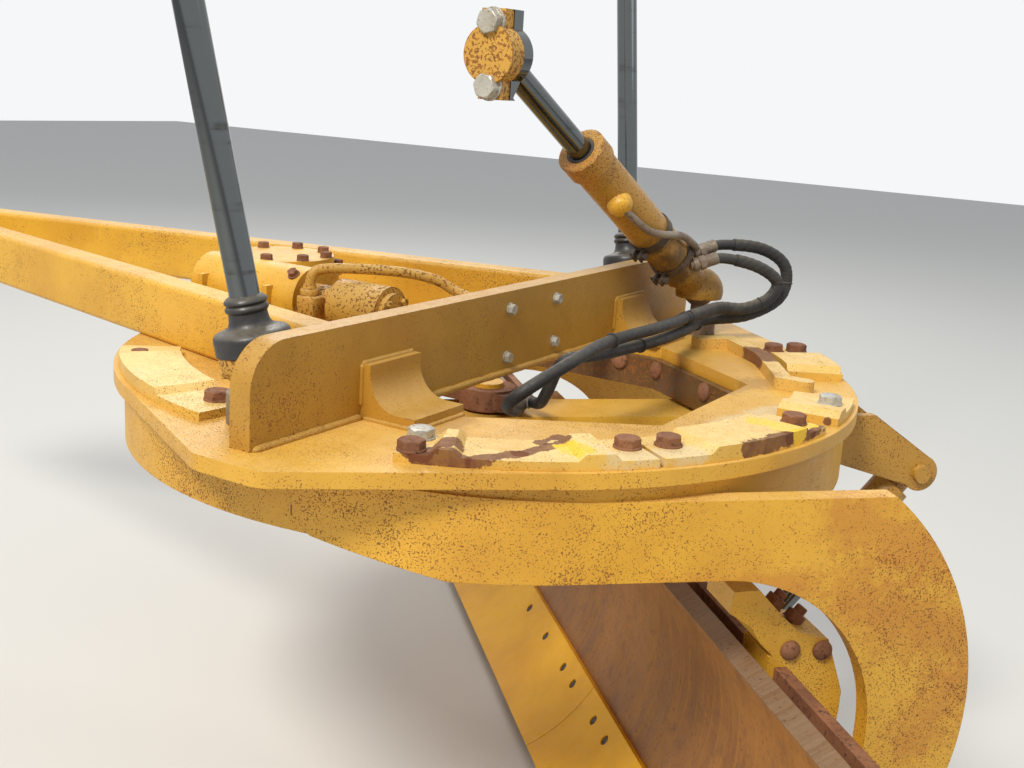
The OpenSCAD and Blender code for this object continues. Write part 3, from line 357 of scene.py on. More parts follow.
# Speckles: small pits of rust where fine noise is high, thicker where broad noise is high
def makeSpeckles():
    tree, n, inp, out = newGroup("speckles", [("Amount", 0.5), ("Size", 1.0)])
    broad = n.noise(inp["Vector"], 2.3, 3, 0.6)
    fine = n.noise(inp["Vector"], n.math("DIVIDE", 310.0, inp["Size"]), 2, 0.6)
    mid = n.noise(inp["Vector"], 24.0, 3, 0.6)
    level = n.math("ADD", n.math("MULTIPLY", broad, 0.34), n.math("MULTIPLY", mid, 0.24))
    level = n.math("ADD", level, n.math("MULTIPLY", inp["Amount"], 0.16))
    limit = n.math("SUBTRACT", 0.99, level)
    n.feed(n.remap(n.math("SUBTRACT", fine, limit), 0.0, 0.035), out["Mask"])
    return tree


# Edge wear: where the rounded normal leaves the true one, broken up by noise
def makeEdgeWear():
    tree, n, inp, out = newGroup("edgeWear", [("Amount", 0.5)])
    soft = n.add("ShaderNodeBevel", samples=6)
    soft.inputs["Radius"].default_value = 0.006
    geo = n.add("ShaderNodeNewGeometry")
    same = n.vector("DOT_PRODUCT", soft.outputs[0], geo.outputs["Normal"], "Value")
    edge = n.remap(n.math("SUBTRACT", 1.0, same), 0.02, 0.22)
    broken = n.noise(inp["Vector"], 28.0, 5, 0.7)
    limit = n.math("SUBTRACT", 0.86, n.math("MULTIPLY", inp["Amount"], 0.5))
    chips = n.remap(n.math("SUBTRACT", broken, limit), 0.0, 0.06)
    n.feed(n.math("MULTIPLY", edge, chips), out["Mask"])
    return tree


# Dust: pale film on faces that look up, in soft patches
def makeDust():
    tree, n, inp, out = newGroup("dust", [("Amount", 0.5)])
    geo = n.add("ShaderNodeNewGeometry")
    parts = n.add("ShaderNodeSeparateXYZ")
    n.feed(geo.outputs["Normal"], parts.inputs[0])
    up = n.remap(parts.outputs["Z"], 0.25, 0.95)
    patch = n.remap(n.noise(inp["Vector"], 5.0, 6, 0.66), 0.3, 0.7)
    grit = n.remap(n.noise(inp["Vector"], 70.0, 3, 0.6), 0.3, 0.62, 0.6, 1.0)
    lying = n.math("ADD", 0.35, n.math("MULTIPLY", patch, 0.65))
    film = n.math("MULTIPLY", up, n.math("MULTIPLY", grit, lying))
    n.feed(n.math("MULTIPLY", film, inp["Amount"], True), out["Mask"])
    return tree


# Streaks: long marks down the object's own height
def makeStreaks():
    tree, n, inp, out = newGroup("streaks", [("Amount", 0.5)])
    fine = n.noise(n.stretch(inp["Vector"], (34.0, 34.0, 2.2)), 1.0, 5, 0.65)
    patch = n.noise(inp["Vector"], 3.1, 3, 0.6)
    level = n.math("ADD", n.math("MULTIPLY", fine, 0.6), n.math("MULTIPLY", patch, 0.4))
    limit = n.math("SUBTRACT", 0.72, n.math("MULTIPLY", inp["Amount"], 0.28))
    n.feed(n.remap(n.math("SUBTRACT", level, limit), 0.0, 0.14), out["Mask"])
    return tree


# Mark: one scar or patch, by the distance to the line from Start to End, its edge broken by noise
def makeMark():
    tree, n, inp, out = newGroup("mark", [("Start", (0.0, 0.0, 0.0)), ("End", (0.0, 0.0, 1.0)),
                                          ("Width", 0.02), ("Soft", 0.1)])
    line = n.vector("SUBTRACT", inp["End"], inp["Start"])
    away = n.vector("SUBTRACT", inp["Vector"], inp["Start"])
    share = n.math("DIVIDE", n.vector("DOT_PRODUCT", away, line, "Value"),
                   n.vector("DOT_PRODUCT", line, line, "Value"), True)
    foot = n.vector("SCALE", line, share)
    gap = n.vector("LENGTH", n.vector("SUBTRACT", away, foot), output="Value")
    broken = n.math("SUBTRACT", n.noise(inp["Vector"], 40.0, 5, 0.7), 0.5)
    gap = n.math("ADD", gap, n.math("MULTIPLY", n.math("MULTIPLY", broken, inp["Width"]), 2.0))
    inner = n.math("SUBTRACT", 1.0, inp["Soft"])
    n.feed(n.remap(n.math("DIVIDE", gap, inp["Width"]), 1.0, inner), out["Mask"])
    return tree


groups = {"speckles": makeSpeckles(), "edgeWear": makeEdgeWear(), "dust": makeDust(),
          "streaks": makeStreaks(), "mark": makeMark()}


def useGroup(n, name, where, **values):
    g = n.add("ShaderNodeGroup", node_tree=groups[name])
    n.feed(where, g.inputs["Vector"])
    for k, v in values.items():
        n.feed(v, g.inputs[k])
    return g.outputs["Mask"]


def newMaterial(name):
    mat = bpy.data.materials.new(name)
    mat.use_nodes = True
    tree = mat.node_tree
    tree.nodes.clear()
    n = Nodes(tree)
    shader = n.add("ShaderNodeBsdfPrincipled")
    out = n.add("ShaderNodeOutputMaterial")
    tree.links.new(shader.outputs[0], out.inputs[0])
    where = n.add("ShaderNodeTexCoord").outputs["Object"]
    return mat, n, shader, where


# Tint, cover, change of roughness, and how soft the mark's edge is
markTones = {
    "rust": (linear(104, 58, 34), 1.0, 0.3, 0.12),
    "fresh": (linear(244, 200, 44), 1.0, -0.1, 0.1),
    "wash": (linear(186, 112, 42), 0.6, 0.1, 0.95),
    "stain": (linear(150, 110, 60), 0.6, 0.1, 0.7),
    "grease": (linear(60, 46, 30), 0.85, -0.05, 0.7),
    "grit": (linear(214, 196, 156), 0.7, 0.2, 0.5),
}


# Painted plate: yellow paint that varies a little, with speckles, chipped edges, dust, streaks and marks.
# Each mark is its kind, its two ends in millimetres square to the deck, and its half width
def paintedPlate(name, base, speckle=0.5, edge=0.5, dust=0.4, streak=0.2, gloss=0.42, size=1.0, marks=()):
    mat, n, shader, where = newMaterial(name)
    rust, dark, pale = linear(146, 88, 40), linear(98, 56, 26), linear(242, 212, 146)
    tone = n.noise(where, 3.2, 4, 0.6)
    fine = n.noise(where, 60.0, 4, 0.7)
    deep = tuple(c * k for c, k in zip(base[:3], (0.80, 0.73, 0.64))) + (1.0,)
    col = n.mix(n.remap(tone, 0.32, 0.72), base, deep)
    col = n.mix(n.remap(fine, 0.55, 0.8, 0.0, 0.35), col, deep)
    col = n.mix(useGroup(n, "streaks", where, Amount=streak), col, n.mix(0.5, col, rust))
    col = n.mix(useGroup(n, "dust", where, Amount=dust), col, pale)
    rough = n.remap(fine, 0.3, 0.7, gloss - 0.06, gloss + 0.12)
    for kind, start, end, width in marks:
        tint, cover, duller, soft = markTones[kind]
        spot = useGroup(n, "mark", where, Start=tuple(framePoint(start)), End=tuple(framePoint(end)),
                        Width=width / 1000, Soft=soft)
        spot = n.math("MULTIPLY", spot, n.remap(fine, 0.2, 0.8, cover, 0.75 * cover))
        col = n.mix(spot, col, tint)
        rough = n.math("ADD", rough, n.math("MULTIPLY", spot, duller), True)
    spots = useGroup(n, "speckles", where, Amount=speckle, Size=size)
    rustTone = n.mix(n.remap(fine, 0.35, 0.65), dark, rust)
    col = n.mix(n.math("MULTIPLY", spots, 0.85), col, rustTone)
    chips = useGroup(n, "edgeWear", where, Amount=edge)
    col = n.mix(chips, col, rustTone)
    n.feed(col, shader.inputs["Base Color"])
    worn = n.math("MAXIMUM", spots, chips)
    n.feed(n.math("ADD", rough, n.math("MULTIPLY", worn, 0.35), True), shader.inputs["Roughness"])
    grain = n.math("MULTIPLY", n.noise(where, 420.0, 2, 0.5), 0.25)
    waves = n.math("MULTIPLY", n.noise(where, 22.0, 3, 0.5), 0.6)
    height = n.math("SUBTRACT", n.math("ADD", grain, waves), n.math("MULTIPLY", worn, 0.5))
    n.feed(n.bump(height, 0.5, 0.0009), shader.inputs["Normal"])
    return mat


# Rusted or greasy steel: a broad change between two tones, and dark pits in the fine noise
def rustedSteel(name, base, bloom, dark, rough=0.82, metal=0.25, grain=90.0, height=0.0012):
    mat, n, shader, where = newMaterial(name)
    broad = n.noise(where, 9.0, 5, 0.65)
    fine = n.noise(where, grain, 4, 0.7)
    col = n.mix(n.remap(broad, 0.35, 0.65), base, bloom)
    col = n.mix(n.remap(fine, 0.5, 0.72), col, dark)
    n.feed(col, shader.inputs["Base Color"])
    n.feed(n.remap(fine, 0.3, 0.7, rough - 0.12, min(rough + 0.1, 1.0)), shader.inputs["Roughness"])
    n.feed(n.remap(fine, 0.2, 0.6, metal, 0.0), shader.inputs["Metallic"])
    n.feed(n.bump(n.math("ADD", fine, n.math("MULTIPLY", broad, 0.6)), 0.55, height), shader.inputs["Normal"])
    return mat


# Polished rod: chrome with faint rings of oil and a little dust
def polishedRod(name):
    mat, n, shader, where = newMaterial(name)
    film = n.noise(n.stretch(where, (3.0, 3.0, 60.0)), 1.0, 4, 0.6)
    smear = n.noise(where, 18.0, 4, 0.7)
    mark = n.math("MULTIPLY", n.remap(film, 0.5, 0.75), n.remap(smear, 0.4, 0.7))
    n.feed(n.mix(mark, linear(100, 104, 104), linear(66, 64, 58)), shader.inputs["Base Color"])
    n.feed(n.remap(mark, 0.0, 1.0, 0.11, 0.36), shader.inputs["Roughness"])
    shader.inputs["Metallic"].default_value = 1.0
    return mat


# Black rubber and black paint: dull, dusty on top, fine grain
def blackRubber(name, base=(26, 26, 27), dust=0.3, rough=0.6, grain=160.0):
    mat, n, shader, where = newMaterial(name)
    fine = n.noise(where, grain, 3, 0.6)
    broad = n.noise(where, 12.0, 4, 0.6)
    col = n.mix(n.remap(broad, 0.4, 0.7), linear(*base), linear(base[0] + 22, base[1] + 21, base[2] + 19))
    col = n.mix(useGroup(n, "dust", where, Amount=dust), col, linear(132, 122, 104))
    n.feed(col, shader.inputs["Base Color"])
    n.feed(n.remap(fine, 0.3, 0.7, rough - 0.1, rough + 0.12), shader.inputs["Roughness"])
    n.feed(n.bump(fine, 0.3, 0.0006, 0.001), shader.inputs["Normal"])
    return mat


bladeTones = {
    "base": linear(162, 110, 50), "deep": linear(134, 86, 40), "drawn": linear(182, 130, 66),
    "scratch": linear(98, 62, 34), "patch": linear(112, 80, 50), "pits": linear(82, 50, 30),
    "strip": linear(128, 100, 72), "stripPale": linear(150, 124, 98),
}
stripFrom = -0.469   # height in the frame of the moldboard's worn top strip, in metres


# Moldboard: rusty steel drawn down by the soil, with a grey pink worn strip along its top
def wornBlade(name, tones):
    mat, n, shader, where = newMaterial(name)
    across = n.stretch(where, (1.0, 1.0, 1.0), (0.0, 0.0, -circleTurn))
    lines = n.noise(n.stretch(across, (2.4, 70.0, 2.4)), 1.0, 5, 0.7)
    broad = n.noise(where, 4.0, 5, 0.65)
    fine = n.noise(where, 120.0, 4, 0.7)
    patches = n.remap(n.noise(where, 26.0, 5, 0.7), 0.5, 0.7, 0.0, 0.5)
    col = n.mix(n.remap(broad, 0.35, 0.68), tones["base"], tones["deep"])
    col = n.mix(n.remap(lines, 0.42, 0.66, 0.0, 0.55), col, tones["drawn"])
    col = n.mix(n.remap(lines, 0.36, 0.22, 0.0, 0.6), col, tones["scratch"])
    col = n.mix(patches, col, tones["patch"])
    parts = n.add("ShaderNodeSeparateXYZ")
    n.feed(where, parts.inputs[0])
    waver = n.math("MULTIPLY", n.math("SUBTRACT", broad, 0.5), 0.03)
    top = n.remap(n.math("ADD", parts.outputs["Z"], waver), stripFrom - 0.008, stripFrom + 0.004)
    col = n.mix(top, col, n.mix(n.remap(lines, 0.35, 0.65), tones["strip"], tones["stripPale"]))
    col = n.mix(n.remap(fine, 0.56, 0.74), col, tones["pits"])
    n.feed(col, shader.inputs["Base Color"])
    n.feed(n.remap(lines, 0.3, 0.7, 0.42, 0.62), shader.inputs["Roughness"])
    n.feed(n.remap(lines, 0.4, 0.7, 0.2, 0.5), shader.inputs["Metallic"])
    n.feed(n.bump(n.math("ADD", lines, n.math("MULTIPLY", fine, 0.5)), 0.35, 0.001), shader.inputs["Normal"])
    return mat


shoeMarks = [
    ("rust", (-312, 704, 25), (-341, 639, 28), 26), ("rust", (-382, 673, 16), (-322, 705, 14), 20),
    ("rust", (-399, 664, 16), (-440, 590, 16), 17), ("rust", (-440, 590, 16), (-463, 483, 19), 15),
    ("rust", (-414, 412, 6), (-433, 514, 14), 12), ("rust", (-716, 297, 16), (-751, 190, 19), 17),
    ("rust", (-751, 190, 19), (-765, 110, 16), 14), ("rust", (-765, 110, 14), (-755, -13, 8), 10),
    ("fresh", (-477, 504, 17), (-528, 531, 26), 20), ("fresh", (-677, 153, 28), (-758, 159, 23), 24),
    ("fresh", (-725, 170, 28), (-741, 62, 16), 18), ("grit", (-560, 500, 18), (-650, 380, 18), 40),
]
deckMarks = [
    ("rust", (-422, 592, 2), (-414, 412, 2), 14), ("stain", (-560, -300, 2), (-480, -120, 2), 60),
    ("stain", (-260, 560, 2), (-200, 380, 2), 50), ("grit", (-640, -60, 2), (-600, 120, 2), 40),
    ("rust", (-121, -395, -30), (-220, -393, -50), 16),
]
armMarks = [
    ("wash", (-880, 210, -90), (-1011, 80, -175), 90), ("wash", (-1043, 47, -331), (-908, 183, -245), 110),
    ("wash", (-1060, 30, -420), (-1010, 80, -520), 90), ("rust", (-108, 764, -104), (-108, 764, -148), 5),
    ("wash", (-640, 430, -215), (-820, 260, -215), 50),
]
barrelMarks = [
    ("grease", (-190, -520, 170), (-150, -440, 260), 70), ("wash", (-90, -200, 400), (-60, -60, 520), 60),
]
barMarks = [
    ("rust", (-432, -438, 26), (-495, -387, 26), 40), ("stain", (-479, -295, 14), (-560, -240, 26), 30),
]

# Paints say speckle, worn edge, dust and streaks, then gloss, the speckles' size and the marks;
# steels say two tones and the pits' tone, then roughness, metal, grain and the bump's height
mats = {
    "paint": paintedPlate("machinePaint", linear(222, 170, 52), 0.5, 0.45, 0.28, 0.25),
    # The wall's paint is the machine's yellow darkened: painted shade on the wall's rear face and its
    # brackets
    "shade": paintedPlate("wallPaintedShade", linear(184, 138, 48), 0.5, 0.6, 0.2, 0.25),
    "skirt": paintedPlate("skirtPaint", linear(98, 70, 24), 1.25, 0.7, 0.2, 0.5, 0.5, 2.0),
    "deckTop": paintedPlate("deckPaint", linear(218, 166, 56), 0.45, 0.5, 0.32, 0.15, marks=deckMarks),
    "shoes": paintedPlate("shoePaint", linear(224, 180, 80), 0.45, 0.5, 0.8, 0.15, marks=shoeMarks),
    "bar": paintedPlate("barPaint", linear(218, 176, 88), 0.6, 0.6, 0.7, 0.2, marks=barMarks),
    "arms": paintedPlate("armPaint", linear(222, 168, 52), 0.62, 0.4, 0.4, 0.2, marks=armMarks),
    "motor": paintedPlate("motorPaint", linear(208, 160, 66), 0.9, 0.8, 0.3, 0.4, 0.5, 1.8),
    # The barrels' paint is the yellow darkened, painted shade, under real grease and rust wash marks
    "barrel": paintedPlate("barrelPaintedShade", linear(184, 138, 52), 0.6, 0.7, 0.2, 0.45, 0.4, 1.3, barrelMarks),
    # The cutting edges' new yellow paint is raised to full brightness: partly the paint's own colour, partly
    # painted light
    "edge": paintedPlate("edgePaintWithPaintedLight", linear(255, 190, 4), -0.3, 0.2, 0.0, -0.8, 0.5),
    "rust": rustedSteel("rustyBolts", linear(118, 76, 50), linear(146, 98, 66), linear(70, 42, 30)),
    "zinc": rustedSteel("zincBolts", linear(186, 182, 170), linear(164, 156, 138), linear(104, 86, 64),
                        0.4, 0.6, 140.0, 0.0005),
    "steel": rustedSteel("bareSteel", linear(142, 130, 114), linear(120, 100, 80), linear(78, 60, 45),
                         0.5, 0.8),
    "grease": rustedSteel("greasySteel", linear(64, 52, 42), linear(92, 72, 52), linear(34, 28, 24),
                          0.55, 0.4),
    "chrome": polishedRod("polishedRod"),
    "rubber": blackRubber("blackRubber"),
    "sleeve": blackRubber("wovenSleeve", (34, 33, 32), 0.5, 0.75, 420.0),
    "blackPaint": blackRubber("blackPaint", (30, 29, 28), 0.5, 0.42),
    "blade": wornBlade("wornBlade", bladeTones),
}
print("materials made")

# Nodes that aren't named here have the machine's yellow paint
nodeFinish = {
    "yoke_plate": "deckTop", "guide_shoes": "shoes", "deck_bar": "bar", "yoke_skirt": "skirt",
    # The wall and its brackets take the darkened yellow that is painted shade
    "cross_wall": "shade", "wall_brackets": "shade", "shoe_bolts": "rust", "wear_pads": "grease",
    "guide_clamps": "grease", "lift_studs": "steel", "shift_stud": "steel", "pinion": "grease",
    "pivot_pins": "rust", "moldboard": "blade", "cutting_edges": "edge", "end_bits": "steel",
    "upper_rail": "rust", "lower_rail": "rust", "slide_rod": "chrome", "tip_rod": "chrome",
    "shift_rod": "chrome", "lift_rod_left": "chrome", "lift_rod_right": "chrome",
    "hose_long": "rubber", "hose_short": "rubber", "swivel_body": "rust", "drive_motor": "motor",
    "shift_pipes": "steel", "shift_bands": "grease", "arm_left": "arms", "arm_right": "arms",
    # The barrels and the tip clevis take the darkened yellow that is painted shade
    "shift_barrel": "barrel", "shift_cap": "motor", "tip_barrel": "barrel", "tip_clevis": "barrel",
}
for nodeName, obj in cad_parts.items():
    obj.data.materials.clear()
    obj.data.materials.append(mats[nodeFinish.get(nodeName, "paint")])
print("finishes set on", len(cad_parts), "nodes")

# The two hoses from the centre shift cylinder to the swivel, each on one smooth curve

hoseSet = {
    "radius": 13.0,
    "steps": 14,
    "long": [(-238, -555, 191), (-280, -592, 206), (-345, -660, 188), (-384, -709, 149), (-371, -693, 106),
             (-330, -645, 82), (-290, -580, 86), (-290, -434, 88), (-310, -200, 94), (-298, 20, 92),
             (-310, 200, 80), (-240, 295, 10), (-150, 130, -60), (-100, 22, -81), (-70.8, 22, -81)],
    "short": [(-223, -578, 217), (-262, -625, 234), (-337, -706, 226), (-382, -763, 181), (-379, -759, 105),
              (-323, -689, 59), (-252, -590, 50), (-262, -500, 50), (-285, -380, 55), (-292, -200, 57),
              (-270, 0, 57), (-236, 90, 52), (-185, 60, -25), (-135, 0, -72), (-100, -22, -81),
              (-70.8, -22, -81)],
    "sleeve": (95.0, 620.0),        # from and to, along the hose
    "ties": (300.0, 640.0, 1010.0),
    "ferrule": 46.0,                # lengths of the ferrules at the port and at the swivel
    "swivelFerrule": 28.0,
    "nutFlat": 15.5,
    "bendFrom": np.array([0.0, 0.0, -13.0]),   # heights from the port
    "bendTo": np.array([0.0, 0.0, -81.0]),
}


# A hose's pressed ferrule: a hexagon nut, then a ribbed collar, along the hose's end
def hoseFerrule(shell, start, way, length, s):
    r = s["radius"]
    a = turnOf(36)
    hexagon = s["nutFlat"] / np.cos((a + np.pi / 6) % (np.pi / 3) - np.pi / 6)
    rows = [(0, 0 * a), (0, 0 * a + 11), (0, 0.94 * hexagon), (2, hexagon), (13, hexagon),
            (15, 0.94 * hexagon)]
    ribs = np.linspace(16, length - 2, 22)
    rows += [(x, 0 * a + r + 2.2 + 1.1 * np.sin(x * 1.35)) for x in ribs]
    rows += [(length, 0 * a + r + 1.0), (length, 0 * a)]
    along = np.array([x + 0 * a for x, _ in rows])
    radius = np.array([r for _, r in rows])
    shell.grid(ringPoints(start, squareTo(way), along, radius, a))


# The hose's place is baked into its mesh
def bendHose(piece):
    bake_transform(piece)


def makeHose(name, s, replaced):
    path = throughPoints(s[name], s["steps"])
    hose = Shell()
    tubeShape(hose, path, s["radius"] - 0.2, 20)
    hosePiece = hose.build("hose_line_" + name, "rubber", None, 50)
    bendHose(hosePiece)
    for label, start, way, reach, body in (
            ("port", path[0], path[3] - path[0], s["ferrule"], "shift_barrel"),
            ("swivel", path[-1], path[-2] - path[-1], s["swivelFerrule"], "drawbar")):
        ferrule = Shell()
        hoseFerrule(ferrule, start, way, reach, s)
        ferrule.build("hose_" + label + "_" + name, "steel", body)
    cover = Shell()
    where = np.linspace(*s["sleeve"], 330)

    # The sleeve's weave: four ridges that wind along it, and fine rings
    def weave(r, a):
        turn = where[:, None] / 9.0
        return r + 0.35 * np.cos(4 * a[None] + turn * 2 * np.pi / 2.2) + 0.3 * np.sin(where[:, None] * 0.9)

    tubeShape(cover, routeAt(path, where), s["radius"] + 1.8, 24, ripple=weave)
    for at in s["ties"]:
        run = np.linspace(at, at + 6, 4)
        swell = np.array([1.6, 3.6, 3.6, 1.6])
        tubeShape(cover, routeAt(path, run), s["radius"] + swell, 24)
    coverPiece = cover.build("hose_sleeve_" + name, "sleeve", None, 60)
    bendHose(coverPiece)
    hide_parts(replaced)


makeHose("long", hoseSet, "hose_long")
makeHose("short", hoseSet, "hose_short")

# Bolts of the drawbar

boltSet = {
    "shoe": {"across": 41.0, "height": 15.0, "washer": 24.5, "washerThick": 3.5, "dish": 1.0},
    "wall": {"across": 20.0, "height": 10.0, "washer": 13.5, "washerThick": 2.5, "dish": 0.8},
    "lid": {"across": 24.0, "height": 11.0, "washer": 14.0, "washerThick": 2.0, "dish": 0.8},
    "cap": {"across": 44.6, "height": 21.0, "washer": 29.0, "washerThick": 5.0, "dish": 1.6},
    "shoeAt": [(79, 700), (113.3, 752), (142, 704), (148.2, 708), (174, 722), (228, 750), (228, 690),
               (281, 700), (314.5, 735)],
    "shoeZincAt": [(113.3, 682), (189.2, 734)],
    "shoePlugAt": (45.5, 735),
    "plug": (17.0, 3.5, 1.5),       # radius, height and collar
    "skirt": (21.0, 13.0),
    "shoeTop": 16.0,
    "wallAt": [(74, 136), (-118, 136), (-118, 39), (79, 34)],
    "wallRear": -90.0,
    "skirtAt": [((-224, -393, -51), (0.57, 0.82, 0)), ((-399, -272, -49), (0.57, 0.82, 0)),
                ((-121, -400, -45), (0, 1, 0))],
}


def roundPlace(angle, radius, z):
    t = math.radians(angle)
    return np.array([radius * math.cos(t), radius * math.sin(t), z])


# A domed head: a low collar and a quarter ellipse up to its pole
def domeShape(shell, foot, way, radius, height, collar=3.0):
    t = np.linspace(0, np.pi / 2, 9)
    rows = [(-4, 0), (-4, radius), (collar - 1, radius)]
    rows += [(collar + (height - collar) * math.sin(x), radius * math.cos(x)) for x in t[:-1]]
    turnShape(shell, foot, way, rows + [(height, 0)], 40)


def makeDrawbarBolts(s):
    rusty = Shell()
    for i, (angle, radius) in enumerate(s["shoeAt"]):
        boltShape(rusty, roundPlace(angle, radius, s["shoeTop"]), (0, 0, 1), s["shoe"], 0.37 * i)
    domeShape(rusty, roundPlace(*s["shoePlugAt"], s["shoeTop"]), (0, 0, 1), *s["plug"])
    rusty.build("shoe_bolt_heads", "rust", "drawbar", standsFor=["shoe_bolts"])
    zinc = Shell()
    for i, (angle, radius) in enumerate(s["shoeZincAt"]):
        boltShape(zinc, roundPlace(angle, radius, s["shoeTop"]), (0, 0, 1), s["shoe"], 0.5 + 0.6 * i)
    for i, (y, z) in enumerate(s["wallAt"]):
        boltShape(zinc, (s["wallRear"], y, z), (-1, 0, 0), s["wall"], 0.31 * i)
    zinc.build("zinc_bolt_heads", "zinc", "drawbar")
    domes = Shell()
    for place, way in s["skirtAt"]:
        domeShape(domes, place, way, *s["skirt"])
    domes.build("skirt_bolt_heads", "rust", "drawbar")


makeDrawbarBolts(boltSet)
print("bolts made")

# Weld beads at the foot of the wall and round its two brackets

weldSet = {
    "reach": 835.0,                 # half the wall's length
    "wall": (7.0, 8.0),             # each bead's radius and the pitch of its scallops
    "foot": (5.0, 6.5),
    "upright": (4.5, 6.0),
    "bracket": {"y": 487.0, "half": 75.0, "rear": -210.0, "top": 100.0, "wall": -90.0},
}


def makeWelds(s):
    b = s["bracket"]
    wall, rear, half, top = b["wall"], b["rear"], b["half"], b["top"]
    near, far = b["y"] - half, b["y"] + half
    beads = Shell()
    for k, (y0, y1) in enumerate([(-s["reach"], -far), (-near, near), (far, s["reach"])]):
        weldShape(beads, [(wall - 2, y0, 2), (wall - 2, y1, 2)], *s["wall"], seed=10 + k)
    for side in (-1, 1):
        low, high = side * b["y"] - half, side * b["y"] + half
        for k, y in enumerate((low, high)):
            weldShape(beads, [(wall - 6, y, 1), (rear, y, 1)], *s["foot"], seed=20 + k + side)
            weldShape(beads, [(wall - 1, y, 22), (wall - 1, y, top)], *s["upright"], seed=30 + k + side)
        weldShape(beads, [(rear - 1, low, 1), (rear - 1, high, 1)], *s["foot"], seed=40 + side)
        weldShape(beads, [(wall - 1, low, top), (wall - 1, high, top)], *s["foot"], seed=50 + side)
    # The beads take the wall's darkened yellow, painted shade
    beads.build("wall_welds", "shade", "drawbar", 60)


makeWelds(weldSet)
print("welds made")

# Centre shift cylinder: port boss, oil pipe, fittings, gland ring, band lugs and the rod end's bolts

shiftSet = {
    "ball": (-200.0, -660.0, 107.0),
    "end": (-30.0, 74.0, 645.0),
    "barrel": 50.0,
    "barrelEnd": 600.0,
    "rod": 26.0,
    # Distance along the barrel, angle round it in degrees, distance from its line
    "pipe": [(448, 124, 58), (436, 126, 64), (424, 128, 65.5), (345, 134, 65.5), (303, 152, 65.5),
             (265, 173, 65.5), (227, 194, 65.5), (148, 212, 65.5), (133, 213, 54)],
    "pipeRadius": 9.0,
    "neck": 24.0,
    "port": (448, 124),
    "portFoot": [(40, 0), (40, 29), (54, 29), (58, 26.5), (60, 25)],
    "portDome": (60.0, 13.0, 25.0),     # where the dome starts, its height and its radius
    "bands": (161.0, 270.0),
    "lugAngle": 78.0,
    "lug": (3.5, 11, 15),
    "lugBolt": {"across": 17, "height": 9, "washer": 10, "washerThick": 2},
    "lugShank": [(0, 0), (0, 5), (36, 5), (36, 0)],
    "capBolts": [(-30, 104, 707), (-30, 104, 583)],
}


# Turning without twist from straight up to the way: about Z, about Y, and back about Z
def leanTo(way):
    v = unit(way)
    phi, theta = math.atan2(v[1], v[0]), math.acos(v[2])
    c, s = math.cos(phi), math.sin(phi)
    aboutZ = np.array([[c, -s, 0], [s, c, 0], [0, 0, 1.0]])
    c, s = math.cos(theta), math.sin(theta)
    aboutY = np.array([[c, 0, s], [0, 1.0, 0], [-s, 0, c]])
    return aboutZ @ aboutY @ aboutZ.T


